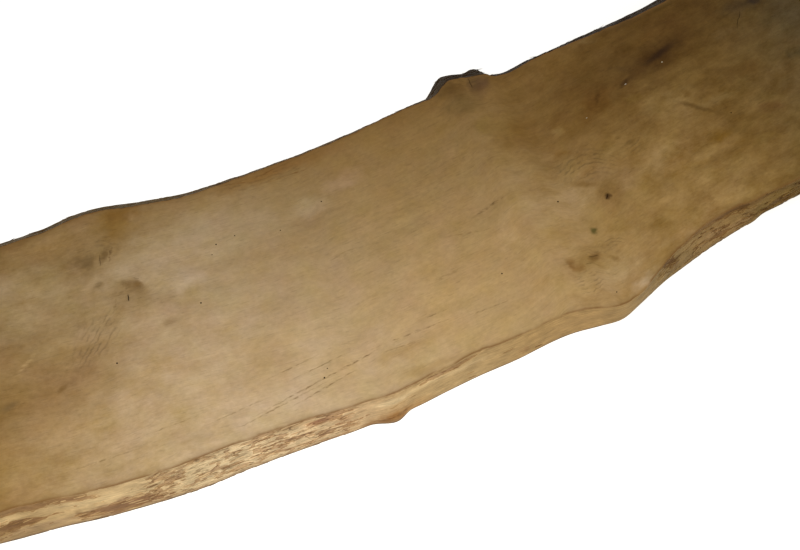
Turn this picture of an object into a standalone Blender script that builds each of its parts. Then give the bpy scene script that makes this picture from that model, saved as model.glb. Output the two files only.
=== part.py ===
"""Unedged oak board: one plank sawn through a log, with the log's own surface left along both long edges.

+X runs along the board, +Y towards its far edge and +Z up. The origin is the middle of the underside's box.
The wider face was nearer the heart of the log and lies down, so both natural edges slope outwards from the
upper face. The board follows the gentle sweep of the tree, and its two ends are crosscut square to +X.
"""

import math
from dataclasses import dataclass

import bmesh
import bpy
import numpy as np
from mathutils import Vector, noise

MM = 0.001

# Driving dimensions of the board, in millimetres.
LENGTH = 1800.0
THICKNESS = 34.0

# The natural edge is drawn as strips between underside and upper face, from sections this far apart.
EDGE_STRIPS = 7
STATION_STEP = 7.5
FINE_STEP = 3.5

OAK_COLOUR = (0.40, 0.27, 0.13, 1.0)
OAK_ROUGHNESS = 0.72
SHARP_ANGLE = 40.0


@dataclass(frozen=True)
class Waves:
    """Unevenness along a natural edge: smooth noise up to `height` either way, in waves about `length` long."""

    height: float
    length: float
    up_edge: float  # how many waves lie between the foot of the edge and the upper face
    seed: float


# The natural edge bows out a little, as the log did, and both of its borders wander.
EDGE_BOW = 1.6
FLUTES = Waves(height=1.5, length=85.0, up_edge=2.6, seed=9.0)
GROOVES = Waves(height=0.7, length=22.0, up_edge=6.5, seed=17.0)
FOOT_WANDER = Waves(height=1.1, length=60.0, up_edge=0.0, seed=0.0)
ARRIS_WANDER = Waves(height=1.3, length=28.0, up_edge=0.0, seed=5.0)


@dataclass(frozen=True)
class Swelling:
    """A rise of the natural edge where a branch or a burl stood.

    It climbs over `before` and falls over `after`. The sawn upper face takes `upper_share` of it, because a low
    burl spreads from the foot of the edge and hardly reaches up to that face.
    """

    station: float
    height: float
    before: float
    after: float
    upper_share: float


@dataclass(frozen=True)
class NaturalEdge:
    """One long edge. side is -1 for the near edge and 1 for the far one. Lengths are in millimetres."""

    side: int
    foot: tuple  # (station, offset from the middle line) of the edge on the underside
    wane: tuple  # (station, how far the edge leans in between underside and upper face)
    swellings: tuple
    seed: float


NEAR_EDGE = NaturalEdge(
    side=-1,
    foot=(
        (-900, 160), (-810, 165), (-730, 174), (-650, 186), (-580, 197), (-508, 208), (-436, 221),
        (-387, 228), (-337, 232), (-260, 234), (-180, 238), (-120, 242), (-44, 243), (0, 240), (100, 237),
        (180, 235), (216, 240), (246, 243), (279, 233), (315, 221), (351, 211), (387, 202), (455, 191),
        (478, 187.5), (491, 183.5), (523, 181), (556, 178), (590, 174), (660, 163), (740, 149), (820, 133),
        (900, 118),
    ),
    wane=(
        (-900, 23), (-760, 25), (-560, 28), (-420, 26), (-310, 27), (-200, 24), (-100, 19), (40, 19),
        (120, 16), (190, 15), (231, 10), (272, 4), (305, 9), (358, 17), (430, 22), (490, 13), (550, 10),
        (700, 17), (900, 20),
    ),
    swellings=(Swelling(-80, 8.0, 34, 26, 0.1),),
    seed=3.7,
)  # fmt: skip

FAR_EDGE = NaturalEdge(
    side=1,
    foot=(
        (-900, 246), (-800, 237), (-700, 225), (-600, 210), (-530, 201), (-466, 195), (-411, 192),
        (-353, 196), (-326, 193), (-273, 179), (-220, 167), (-163, 162), (-45, 158.5), (79, 164),
        (144, 169.5), (200, 170), (250, 166), (303, 169.5), (370, 174), (437, 179), (508, 186), (570, 195),
        (650, 208), (730, 221), (820, 238), (900, 250),
    ),
    wane=(
        (-900, 27), (-460, 24), (-330, 25), (-270, 24), (-200, 22), (-140, 20), (0, 19), (140, 20),
        (186, 27), (240, 24), (300, 20), (400, 22), (500, 25), (700, 22), (900, 26),
    ),
    swellings=(Swelling(188, 26.5, 42, 84, 0.9), Swelling(238, 13.0, 28, 6.5, 0.3)),
    seed=11.3,
)  # fmt: skip


@dataclass(frozen=True)
class EndCheck:
    """A drying crack that runs in from a sawn end, right through the board and narrowing to nothing."""

    end: int  # -1 for the end at -X, 1 for the end at +X
    offset: float
    reach: float
    mouth: float
    lean: float  # how far the crack's tip lies from its mouth, across the board


END_CHECKS = (
    EndCheck(end=-1, offset=62.0, reach=118.0, mouth=3.4, lean=-9.0),
    EndCheck(end=-1, offset=-48.0, reach=52.0, mouth=2.2, lean=-6.0),
    EndCheck(end=1, offset=88.0, reach=86.0, mouth=2.8, lean=-13.0),
)
CUTTER_SPARE = 5.0


def smooth_step(share):
    """0 to 1 with level ends, for a share from 0 to 1."""
    share = np.clip(share, 0.0, 1.0)
    return share * share * (3.0 - 2.0 * share)


def curve_through(points, stations):
    """A smooth curve through (station, value) points, read at the stations."""
    at, value = np.array(points, float).T
    slope = np.gradient(value, at)
    index = np.clip(np.searchsorted(at, stations, side="right") - 1, 0, len(at) - 2)
    gap = at[index + 1] - at[index]
    t = np.clip((stations - at[index]) / gap, 0.0, 1.0)
    start, end = value[index], value[index + 1]
    leaving, arriving = slope[index] * gap, slope[index + 1] * gap
    return (
        (2 * t**3 - 3 * t**2 + 1) * start
        + (t**3 - 2 * t**2 + t) * leaving
        + (3 * t**2 - 2 * t**3) * end
        + (t**3 - t**2) * arriving
    )


def uneven(waves, edge, stations, up=0.0):
    """The unevenness of an edge at each station, at a share `up` of the way to the upper face."""
    row = waves.up_edge * up
    seed = edge.seed + waves.seed
    return waves.height * np.array([noise.noise(Vector((x / waves.length, row, seed))) for x in stations])


def rise(swelling, stations):
    """How far a swelling pushes the edge out at each station."""
    away = stations - swelling.station
    span = np.where(away < 0, swelling.before, swelling.after)
    return swelling.height * (1.0 - smooth_step(np.abs(away) / span))


def foot_line(edge, stations):
    """How far the edge lies from the middle line on the underside."""
    out = curve_through(edge.foot, stations) + uneven(FOOT_WANDER, edge, stations)
    return out + sum(rise(s, stations) for s in edge.swellings)


def lean_line(edge, stations):
    """How far the edge leans in between its foot and the upper face."""
    lean = curve_through(edge.wane, stations) + uneven(ARRIS_WANDER, edge, stations)
    return lean + sum((1.0 - s.upper_share) * rise(s, stations) for s in edge.swellings)


def edge_rows(edge, stations):
    """(offset, height) of each row of the natural edge, from the underside up to the upper face."""
    foot = foot_line(edge, stations)
    lean = lean_line(edge, stations)
    rows = []
    for strip in range(EDGE_STRIPS + 1):
        up = strip / EDGE_STRIPS
        held = math.sin(math.pi * up)  # bow, flutes and grooves fade out at both sawn faces
        relief = EDGE_BOW + uneven(FLUTES, edge, stations, up) + uneven(GROOVES, edge, stations, up)
        rows.append((edge.side * (foot - lean * up + held * relief), THICKNESS * up))
    return rows


def all_stations():
    """Places along the board at which its section is drawn, closer together at the swellings."""
    half = LENGTH / 2
    stations = set(np.linspace(-half, half, round(LENGTH / STATION_STEP) + 1).tolist())
    for s in NEAR_EDGE.swellings + FAR_EDGE.swellings:
        count = round((s.before + s.after) / FINE_STEP)
        stations |= set(np.linspace(s.station - s.before, s.station + s.after, count).tolist())
    kept = []
    for x in sorted(stations):
        if not kept or x - kept[-1] > 0.5 * FINE_STEP or x == half:
            kept.append(x)
    return np.array(kept)


def board_mesh():
    """The board as a skin over its sections: two natural edges, two sawn faces and two crosscut ends."""
    stations = all_stations()
    near = edge_rows(NEAR_EDGE, stations)
    far = edge_rows(FAR_EDGE, stations)
    ring = near + far[::-1]  # up the near edge, over the upper face and down the far edge
    offsets = np.array([offset for offset, _ in ring])
    middle = (offsets.min() + offsets.max()) / 2
    mesh = bmesh.new()
    sections = [
        [mesh.verts.new((x * MM, (offset[i] - middle) * MM, height * MM)) for offset, height in ring]
        for i, x in enumerate(stations)
    ]
    for here, there in zip(sections, sections[1:]):
        for k in range(len(ring)):
            after = (k + 1) % len(ring)
            mesh.faces.new((here[k], here[after], there[after], there[k]))
    mesh.faces.new(sections[0][::-1])
    mesh.faces.new(sections[-1])
    bmesh.ops.recalc_face_normals(mesh, faces=mesh.faces)
    data = bpy.data.meshes.new("board")
    mesh.to_mesh(data)
    mesh.free()
    return data, middle


def check_cutter(number, check, middle):
    """The hidden wedge that opens an end check. It stands out past the board's faces and its end."""
    mouth = check.end * (LENGTH / 2 + CUTTER_SPARE)
    tip = check.end * (LENGTH / 2 - check.reach)
    side = check.offset - middle
    outline = [
        (mouth, side - check.mouth / 2),
        (mouth, side + check.mouth / 2),
        (tip, side + check.lean),
    ]
    mesh = bmesh.new()
    base = [mesh.verts.new((x * MM, y * MM, -CUTTER_SPARE * MM)) for x, y in outline]
    face = mesh.faces.new(base)
    risen = bmesh.ops.extrude_face_region(mesh, geom=[face])["geom"]
    top = [v for v in risen if isinstance(v, bmesh.types.BMVert)]
    bmesh.ops.translate(mesh, verts=top, vec=(0, 0, (THICKNESS + 2 * CUTTER_SPARE) * MM))
    bmesh.ops.recalc_face_normals(mesh, faces=mesh.faces)
    data = bpy.data.meshes.new(f"check_{number}")
    mesh.to_mesh(data)
    mesh.free()
    cutter = bpy.data.objects.new(f"check_{number}", data)
    cutter.hide_render = True
    cutter.display_type = "WIRE"
    bpy.context.scene.collection.objects.link(cutter)
    return cutter


def oak_material():
    """Dry, unfinished oak."""
    material = bpy.data.materials.new("oak")
    material.use_nodes = True
    shader = material.node_tree.nodes["Principled BSDF"]
    shader.inputs["Base Color"].default_value = OAK_COLOUR
    shader.inputs["Roughness"].default_value = OAK_ROUGHNESS
    shader.inputs["Metallic"].default_value = 0.0
    return material


def make_board():
    """The board as one object, with its end checks cut."""
    data, middle = board_mesh()
    data.materials.append(oak_material())
    board = bpy.data.objects.new("board", data)
    bpy.context.scene.collection.objects.link(board)
    for number, check in enumerate(END_CHECKS, start=1):
        cut = board.modifiers.new(f"check_{number}", "BOOLEAN")
        cut.operation = "DIFFERENCE"
        cut.solver = "EXACT"
        cut.object = check_cutter(number, check, middle)
    data.shade_smooth()
    data.set_sharp_from_angle(angle=math.radians(SHARP_ANGLE))
    return board


def main():
    for old in list(bpy.data.objects):
        bpy.data.objects.remove(old)
    make_board()


main()
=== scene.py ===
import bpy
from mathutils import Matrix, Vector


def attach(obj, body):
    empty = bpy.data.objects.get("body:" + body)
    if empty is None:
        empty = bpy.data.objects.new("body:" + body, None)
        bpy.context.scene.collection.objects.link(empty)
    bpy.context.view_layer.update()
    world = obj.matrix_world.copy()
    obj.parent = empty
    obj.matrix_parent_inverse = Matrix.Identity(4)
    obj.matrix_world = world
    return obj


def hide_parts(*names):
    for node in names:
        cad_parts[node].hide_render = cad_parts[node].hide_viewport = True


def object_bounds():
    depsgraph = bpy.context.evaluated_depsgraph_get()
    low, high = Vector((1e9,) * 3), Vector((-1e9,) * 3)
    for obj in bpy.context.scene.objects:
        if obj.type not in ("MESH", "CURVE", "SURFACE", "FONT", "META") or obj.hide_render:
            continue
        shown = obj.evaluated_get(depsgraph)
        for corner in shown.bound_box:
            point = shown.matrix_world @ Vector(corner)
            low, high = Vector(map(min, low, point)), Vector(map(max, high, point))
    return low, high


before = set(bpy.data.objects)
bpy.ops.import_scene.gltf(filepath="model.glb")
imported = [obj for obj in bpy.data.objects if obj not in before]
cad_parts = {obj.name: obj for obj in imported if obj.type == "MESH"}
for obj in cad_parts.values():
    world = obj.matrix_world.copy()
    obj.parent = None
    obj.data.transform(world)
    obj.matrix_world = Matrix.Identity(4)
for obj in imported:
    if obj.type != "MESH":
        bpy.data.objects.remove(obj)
CAD_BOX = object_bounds()

"""Looks of an unedged oak board: two sawn faces, the log's own surface on both long edges, and end grain.

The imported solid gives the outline. This script lays a finer skin on it, with torn bast, drying checks,
knots and insect holes, scatters loose fibres over its natural edges, and dresses it all. Lengths are in
millimetres unless a name says otherwise. +X runs along the board, +Y towards its far edge and +Z up. A place
on a sawn face is (along, across). A place on a natural edge is (along, down), where down is measured along
the slope from the upper face.
"""

import logging
import math
from abc import ABC, abstractmethod
from dataclasses import dataclass
from enum import Enum, IntEnum

import bmesh
import bpy
import numpy as np
from mathutils import Vector, geometry

MM = 0.001
LOG = logging.getLogger("oak_board")
SCATTER = (127.1, 311.7, 74.7, 43758.5453)  # large unlike numbers, which make noise out of whole ones
CLEAR, FULL = "#000000", "#FFFFFF"  # no effect and full effect, where a blend steers an amount

Tree, Socket = bpy.types.NodeTree, bpy.types.NodeSocket
# The kinds of node that the materials are mostly made of.
MATH, VECTOR, RANGE = "ShaderNodeMath", "ShaderNodeVectorMath", "ShaderNodeMapRange"
NOISE, MIX = "ShaderNodeTexNoise", "ShaderNodeMix"
SPLIT, LAYER = "ShaderNodeSeparateXYZ", "ShaderNodeAttribute"


class Side(IntEnum):
    """The two long edges. The value is the sign of Y there."""

    NEAR = -1
    FAR = 1


class Cut(IntEnum):
    """How each part of the skin came about. The value is its material's place on the mesh."""

    UPPER = 0
    UNDER = 1
    NEAR_WANE = 2
    FAR_WANE = 3
    CROSSCUT = 4


class Mark(str, Enum):
    """Names of what the skin tells its materials at each vertex."""

    GRAIN = "grain"  # along, across from the middle line, and up, in millimetres
    PLAN = "plan"  # along and across, in millimetres
    BORDER = "border"  # millimetres from the upper face's arris, over the face or down the slope
    BAST = "bast"  # below 0.4 is bare sapwood, above 0.5 is bast
    # The materials paint shade by this: checks and holes are darker the deeper a point lies.
    PIT = "pit"  # how deep in a check or hole, from 0 to 1
    TONE = "tone"  # how pale a torn fibre is, from 0 to 1


@dataclass(frozen=True)
class Patch:
    """A soft, ragged patch of another colour: a stain, weathering, a streak or a damp spot."""

    name: str
    place: tuple[float, float]
    half: tuple[float, float]
    turn: float
    colour: str
    strength: float
    core: float = 0.1


@dataclass(frozen=True)
class Knot:
    """A branch that the saw cut across: dark, as its rings stand on end, with the grain flowing round it."""

    name: str
    place: tuple[float, float]
    half: tuple[float, float]
    turn: float
    core: str
    strength: float
    lift: float
    reach: float


@dataclass(frozen=True)
class Swirl:
    """Grain that bends round a hidden branch, as if the year rings were pushed up by `lift` there."""

    place: tuple[float, float]
    half: tuple[float, float]
    turn: float
    lift: float


@dataclass(frozen=True)
class Waves:
    """Fine dark lines where the saw ran almost level with the year rings, straight or bowed."""

    place: tuple[float, float]
    half: tuple[float, float]
    turn: float
    spacing: float
    bow: float  # how far the lines sag from their middle, as a share of the square of the distance, in 1/mm
    strength: float


@dataclass(frozen=True)
class Scrap:
    """A scrap of bast that was left in a hollow of a natural edge."""

    place: tuple[float, float]
    half: tuple[float, float]
    turn: float


@dataclass(frozen=True)
class FaceCheck:
    """A short drying crack in the upper face."""

    start: tuple[float, float]
    end: tuple[float, float]
    width: float
    depth: float


@dataclass(frozen=True)
class EndCheck:
    """A drying crack that runs in from a sawn end, right through the board."""

    end: int
    offset: float
    reach: float
    mouth: float
    lean: float


KNOTS = (
    Knot("left_outer_west", (-368, 103), (14, 15), 10, "#6B5330", 0.72, 14, 40),
    Knot("left_outer_east", (-343, 103), (6, 15), -38, "#664D2B", 0.72, 14, 34),
    Knot("left_inner", (-320, 45), (14, 15), 10, "#6C5029", 0.68, 18, 40),
    Knot("right_first", (302, -87), (6, 6), 35, "#452C0F", 0.85, 12, 62),
    Knot("right_second", (260, -125), (6, 6), 0, "#524B1E", 0.85, 8, 18),
    Knot("right_third", (243, -160), (12, 7), 20, "#6E4E21", 0.60, 20, 34),
    Knot("branch_stub", (212, 150), (14, 26), 8, "#584226", 0.55, 20, 44),
)

SWIRLS = (
    Swirl((-392, 0), (66, 24), 50, 22),
    Swirl((306, -34), (56, 26), 12, 20),
    Swirl((226, -192), (34, 18), 20, 10),
    Swirl((455, 0), (84, 30), 35, 14),
    Swirl((20, -20), (130, 40), 4, -9),
    Swirl((640, -20), (140, 44), 14, 16),
    Swirl((-700, 30), (130, 44), -8, 16),
)

FACE_PATCHES = (
    Patch("pale_far_left", (-478, 98), (62, 50), 0, "#A0865F", 0.85),
    Patch("pale_west", (-492, 50), (72, 30), 0, "#977C56", 0.75),
    Patch("pale_round_left_knots", (-430, 76), (72, 56), 0, "#A0875D", 0.75),
    Patch("pale_far_middle", (-236, 66), (165, 60), 4, "#AA926F", 0.75),
    Patch("left_cloud", (-462, -50), (112, 60), 4, "#906F43", 0.80),
    Patch("west_cloud", (-535, -55), (72, 34), 6, "#876739", 0.70),
    Patch("heart_middle", (318, 52), (120, 70), 14, "#745425", 0.75),
    Patch("heart_far", (432, 98), (150, 62), 12, "#61451D", 0.80),
    Patch("heart_right", (540, 112), (96, 54), 6, "#5D4119", 0.70),
    Patch("pale_right_near", (410, -118), (112, 108), 0, "#9A7945", 0.80),
    Patch("pale_right_middle", (450, -2), (52, 46), -30, "#8C6E3E", 0.80),
    Patch("pale_far_rim", (318, 147), (100, 17), 2, "#76572A", 0.80),
    Patch("far_side_orange", (-92, 134), (112, 18), 0, "#846031", 0.90),
    Patch("pale_rim_left", (-412, 150), (104, 20), 2, "#9A7B50", 0.55),
    Patch("brow_left", (-316, 139), (30, 36), -24, "#83622B", 0.82),
    Patch("brow_edge", (-302, 157), (26, 20), 0, "#765524", 0.90),
    Patch("west_rim", (-470, 165), (62, 8), 3, "#755530", 0.45),
    Patch("stub_foot", (170, 153), (18, 16), 0, "#654B25", 0.75),
    Patch("far_right_rim", (450, 152), (60, 10), 8, "#543A15", 0.60),
    Patch("brow_light", (-352, 134), (20, 16), 0, "#937546", 0.60),
    Patch("stub_flank", (184, 158), (13, 34), 10, "#634822", 0.75),
    Patch("stub_shade", (232, 58), (42, 36), 20, "#795A27", 0.70),
    Patch("pale_second_band", (250, -66), (150, 28), -2, "#AD9066", 0.50),
    Patch("halo_left_outer", (-362, 102), (40, 26), -6, "#8A6E46", 0.75),
    Patch("halo_left_inner", (-328, 34), (34, 27), -20, "#93764E", 0.75),
    Patch("pale_between_knots", (-336, 72), (32, 15), 4, "#A88F6B", 0.80),
    Patch("tail_left_inner", (-360, 8), (46, 13), 40, "#967950", 0.60),
    Patch("halo_right_first", (306, -80), (36, 28), -35, "#886735", 0.80),
    Patch("arm_right_first", (281, -58), (22, 7), -24, "#7D5C2A", 0.65),
    Patch("halo_right_third", (233, -157), (36, 25), 12, "#987745", 0.80),
    Patch("ring_right_third", (216, -160), (8, 13), 0, "#825C29", 0.65),
    Patch("tail_right_third", (266, -172), (11, 5), -45, "#7F5E29", 0.65),
    Patch("light_right_third", (262, -190), (44, 20), 10, "#B59769", 0.60),
    Patch("dark_streak_bed", (476, 87), (78, 21), 14, "#4B3110", 0.90),
    Patch("dark_streak", (477, 87), (36, 7), 17, "#22100A", 0.62),
    Patch("second_streak", (410, 64), (18, 4.5), 24, "#2E1905", 0.65),
    Patch("third_streak_bed", (357, 48), (36, 21), 38, "#674619", 0.80),
    Patch("third_streak", (361, 56), (15, 4.5), 55, "#472D08", 0.55),
    Patch("pale_over_streak", (474, 117), (38, 13), 10, "#6D4E22", 0.75),
    Patch("wedge_edge", (481, -12), (36, 5), -42, "#5E431A", 0.75),
    Patch("pin_knot_1", (369, -25), (10, 5), 10, "#674D22", 0.65),
    Patch("pin_knot_2", (357, -12), (7, 3.5), 0, "#6B5124", 0.55),
    Patch("brown_band_1", (574, 15), (32, 16), 8, "#674A1E", 0.80),
    Patch("brown_band_2", (528, -66), (60, 13), 5, "#6D5021", 0.70),
    Patch("brown_band_3", (456, -97), (50, 9), 8, "#7C5D2E", 0.65),
    Patch("light_band", (613, -3), (26, 17), 20, "#7A6038", 0.70),
    Patch("light_near_arris", (440, -160), (96, 13), 6, "#A5834B", 0.60),
    Patch("navy_spot", (645, 114), (17, 10), 0, "#33271E", 0.92),
    Patch("end_spot", (662, 9), (20, 12), 10, "#534426", 0.75),
    Patch("grey_end", (690, 70), (60, 60), 0, "#5A4B2F", 0.60),
    Patch("brown_fleck_1", (-448, -52), (9, 4), 20, "#6D4E1E", 0.60),
    Patch("brown_fleck_2", (-515, -48), (14, 7), 10, "#6B5638", 0.55),
    Patch("brown_fleck_3", (-296, -21), (13, 6), 0, "#80643F", 0.55),
    Patch("brown_fleck_4", (-363, 65), (10, 6), 10, "#6F5732", 0.65),
    Patch("brown_fleck_5", (-317, 47), (6, 5), 0, "#6E4F21", 0.65),
    Patch("light_streak", (-480, -2), (22, 3.4), 32, "#B99A6B", 0.60),
    Patch("pale_near_bend", (382, -177), (60, 15), 10, "#AE8D5C", 0.85),
    Patch("pale_west_shoulder", (-398, 140), (34, 24), 0, "#997A4F", 0.70),
    Patch("pale_middle_far", (-72, 61), (38, 18), 6, "#A48B67", 0.95),
    Patch("pale_second_knot", (226, -86), (52, 20), -10, "#AF9163", 0.45),
    Patch("pale_middle_near", (155, -91), (26, 16), 0, "#B5956A", 0.75),
    Patch("pale_middle_east", (-14, 79), (34, 16), 4, "#A28360", 0.75),
    Patch("pale_east_of_knots", (-260, 25), (30, 18), 0, "#B99F80", 0.75),
    Patch("pale_low_right", (545, -96), (28, 9), 4, "#8D703C", 0.75),
    Patch("pale_high_right", (408, 38), (15, 10), 0, "#7F6330", 0.75),
    Patch("pale_mid_right", (400, -62), (48, 20), 8, "#9D7D4D", 0.70),
    Patch("stub_side", (223, 148), (16, 22), 10, "#5C4229", 0.75),
    Patch("stub_foot_shade", (185, 126), (34, 20), 0, "#70572F", 0.75),
    Patch("stub_far_shade", (197, 79), (22, 18), 0, "#7E622F", 0.75),
    Patch("shade_low_left", (-200, -118), (48, 50), 0, "#AE8F63", 0.75),
    Patch("shade_near_middle", (-39, -179), (40, 10), 0, "#AC8B59", 0.75),
    Patch("brown_near_right", (486, -68), (24, 13), 5, "#755319", 0.85),
    Patch("brown_mid_right", (474, 16), (15, 9), 0, "#715324", 0.95),
    Patch("brown_low_right", (577, -52), (24, 9), 4, "#694922", 0.75),
    Patch("brown_heart", (438, 71), (16, 8), 10, "#543916", 0.75),
    Patch("brown_far_rim", (522, 157), (20, 7), 8, "#4A330B", 0.75),
    Patch("brown_by_knot", (329, -95), (14, 7), 0, "#8D6E3B", 0.75),
    Patch("brown_bend", (446, -94), (16, 7), 6, "#84622D", 0.75),
    Patch("brown_high_right", (499, 48), (16, 9), 0, "#684D22", 0.75),
    Patch("brown_ring", (277, -4), (14, 8), 0, "#7D5C2B", 0.75),
    Patch("shade_between_knots", (-370, 81), (16, 9), 0, "#8C714C", 0.75),
    Patch("pale_right_strip", (520, -13), (42, 11), 4, "#876B3E", 0.65),
    Patch("heart_fleck", (412, 87), (20, 9), 8, "#543B1A", 0.65),
    Patch("pale_rim_fleck", (394, 147), (17, 9), 0, "#7D633A", 0.65),
    Patch("pale_ring_fleck", (287, 32), (19, 10), 0, "#917445", 0.65),
    Patch("pale_end_fleck", (580, 80), (22, 11), 0, "#6A502B", 0.65),
    Patch("pale_bend_corner", (284, -219), (34, 8), 14, "#BDA27A", 0.85),
    Patch("rim_brown_middle", (-20, -212), (54, 8), -1, "#A08052", 0.55),
    Patch("far_corner", (640, 116), (60, 18), 8, "#3F2F1B", 0.62),
    Patch("arc_left_outer", (-335, 101), (1.8, 13), -30, "#553C1C", 0.65, 0.3),
    Patch("ring_left_inner", (-350, 33), (2.0, 11), -30, "#6A502B", 0.60, 0.3),
    Patch("arc_left_inner", (-337, 44), (9, 1.8), 20, "#644A26", 0.60, 0.3),
    # Painted highlights: three small pale glints on the dark heartwood.
    Patch("painted_glint_1", (333, 34), (1.2, 1.0), 0, "#B9B09A", 0.75, 0.5),
    Patch("painted_glint_2", (407, 61), (1.2, 1.0), 0, "#B9B09A", 0.80, 0.5),
    Patch("painted_glint_3", (474, 73), (1.4, 1.1), 0, "#CBC3AF", 0.85, 0.5),
)

FACE_WAVES = (
    Waves((-386, -6), (62, 30), 42, 6.2, 0.0, 0.30),
    Waves((-350, 122), (40, 20), -12, 6.4, 0.012, 0.18),
    Waves((297, -32), (62, 32), -4, 7.6, 0.010, 0.30),
    Waves((372, -30), (32, 22), 20, 7.2, -0.008, 0.22),
    Waves((222, -190), (24, 24), 6, 5.6, -0.006, 0.34),
    Waves((272, -150), (28, 14), 0, 5.4, 0.020, 0.24),
    Waves((-120, 127), (86, 15), -5, 5.8, 0.0, 0.22),
    Waves((120, 40), (90, 40), 8, 8.0, 0.001, 0.08),
)

# Thin dark streaks of opened pores, 40 to 150 mm long, over the lower middle and the far side of the face.
PORE_STREAKS = (
    Patch("pores_1", (-162, -174), (82, 1.2), 6.5, "#765B34", 0.75, 0.4),
    Patch("pores_2", (-150, -184), (54, 1.2), 8.0, "#765B34", 0.65, 0.4),
    Patch("pores_3", (-179, -142), (40, 1.0), 3.5, "#7D643D", 0.60, 0.4),
    Patch("pores_4", (-138, -154), (52, 1.0), 3.5, "#7D643D", 0.60, 0.4),
    Patch("pores_5", (-20, -161), (64, 1.1), -1.0, "#765B34", 0.65, 0.4),
    Patch("pores_6", (-38, -172), (26, 1.1), -3.5, "#765B34", 0.60, 0.4),
    Patch("pores_7", (14, -149), (26, 1.0), 1.0, "#7D643D", 0.55, 0.4),
    Patch("pores_8", (84, -169), (34, 1.1), -2.0, "#7D643D", 0.50, 0.4),
    Patch("pores_9", (-435, -160), (52, 1.2), -4.5, "#80673F", 0.60, 0.4),
    Patch("pores_10", (-205, -183), (68, 1.2), 5.5, "#765B34", 0.60, 0.4),
    Patch("pores_11", (-95, -167), (30, 1.2), 8.0, "#6B502A", 0.75, 0.4),
    Patch("pores_12", (-345, -152), (60, 1.0), -2.0, "#80673F", 0.50, 0.4),
    Patch("pores_13", (-262, -168), (46, 1.0), 2.0, "#7D643D", 0.50, 0.4),
    Patch("pores_14", (150, -36), (34, 2.2), 14.0, "#5C421E", 0.60, 0.3),
    Patch("pores_15", (-54, -22), (24, 3.0), 2.0, "#6D522A", 0.40, 0.3),
    Patch("pores_16", (54, -105), (30, 3.0), 6.0, "#73562E", 0.40, 0.3),
    Patch("pores_17", (104, -60), (30, 1.6), -12.0, "#73562E", 0.40, 0.3),
    Patch("pores_18", (-75, 117), (44, 1.2), -3.0, "#6A4518", 0.65, 0.3),
    Patch("pores_19", (-92, 134), (38, 1.2), 5.0, "#6A4518", 0.65, 0.3),
    Patch("pores_20", (-148, 134), (26, 1.2), -14.0, "#6A4518", 0.60, 0.3),
)

NEAR_PATCHES = (
    Patch("arris_band_left", (-500, 4), (62, 7), 0, "#94734A", 0.68),
    Patch("arris_band_middle", (-330, 2), (130, 3.0), 0, "#9A7850", 0.60),
    Patch("arris_band_right", (-30, 2), (150, 3.6), 0, "#98764C", 0.65),
    Patch("arris_second_line", (-20, 8), (70, 1.4), -1, "#9C7B50", 0.55),
    Patch("pale_strip", (-450, 13), (74, 7), 1, "#DBBD8C", 0.80),
    Patch("left_strip", (-549, 22), (30, 5.5), 0, "#9A7850", 0.80, 0.6),
    Patch("left_foot", (-530, 33), (60, 6), 0, "#A98A66", 0.65, 0.4),
    Patch("lower_band", (-430, 31), (58, 10.5), -2, "#AA8762", 0.85, 0.55),
    Patch("lower_band_rim", (-478, 28), (10, 6), 60, "#8D6C46", 0.60),
    Patch("foot_middle", (-268, 33), (84, 7), 2, "#E4C89C", 0.60),
    Patch("orange_foot", (-72, 36), (50, 15), -2, "#A6763F", 0.90),
    Patch("orange_foot_dark", (-100, 37), (30, 8), -3, "#875B2D", 0.70),
    Patch("torn_tip", (-60, 38), (8, 2.6), 4, "#E2C497", 0.75),
    Patch("burl_crease", (-82, 33), (28, 1.5), -5, "#6C4824", 0.75, 0.4),
    Patch("pale_tear", (-78, 11), (28, 4.2), 1, "#E4C798", 0.80, 0.5),
    Patch("pale_tear_tail", (-30, 8), (44, 4.0), -2, "#DDBE8C", 0.75, 0.4),
    Patch("brown_under_tear", (-66, 18), (36, 1.5), -2, "#94703F", 0.65, 0.4),
    Patch("pale_foot_left", (-560, 12), (26, 5), 0, "#D9BA87", 0.60, 0.4),
    Patch("pale_ridge", (16, 12), (52, 4.5), 0, "#D4B585", 0.75),
    Patch("red_mark_1", (-172, 7), (22, 4), -3, "#A87450", 0.60),
    Patch("red_mark_2", (-140, 14), (14, 5), -6, "#A87A54", 0.50),
    Patch("dark_line_1", (-200, 17), (30, 2.2), 0, "#8E7050", 0.70),
    Patch("dark_line_2", (-170, 25), (12, 4.5), -30, "#8E6C4A", 0.60),
    Patch("red_mark_3", (106, 24), (8, 11), 25, "#9A7046", 0.45),
    Patch("heart_shade_1", (334, 10), (26, 9), 60, "#755228", 0.60),
    Patch("heart_shade_2", (482, 2.5), (92, 4.5), 0, "#66471F", 0.62),
    Patch("end_rim_shade", (560, 5), (70, 7), 0, "#5E4722", 0.45),
    Patch("arris_band_low", (-204, 3), (44, 4.2), 0, "#8F6E45", 0.60),
    Patch("pale_arris_right", (402, 3), (44, 4.5), 0, "#A98C5C", 0.60),
    Patch("pink_patch_1", (412, 22), (34, 11), 2, "#A6855C", 0.45),
    Patch("pink_patch_2", (458, 24), (26, 11), 2, "#A3825A", 0.45),
    Patch("olive_patch", (492, 22), (34, 12), 0, "#6F5A2A", 0.50),
    Patch("end_shade", (590, 16), (60, 20), 0, "#4A341C", 0.42),
)

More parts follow.
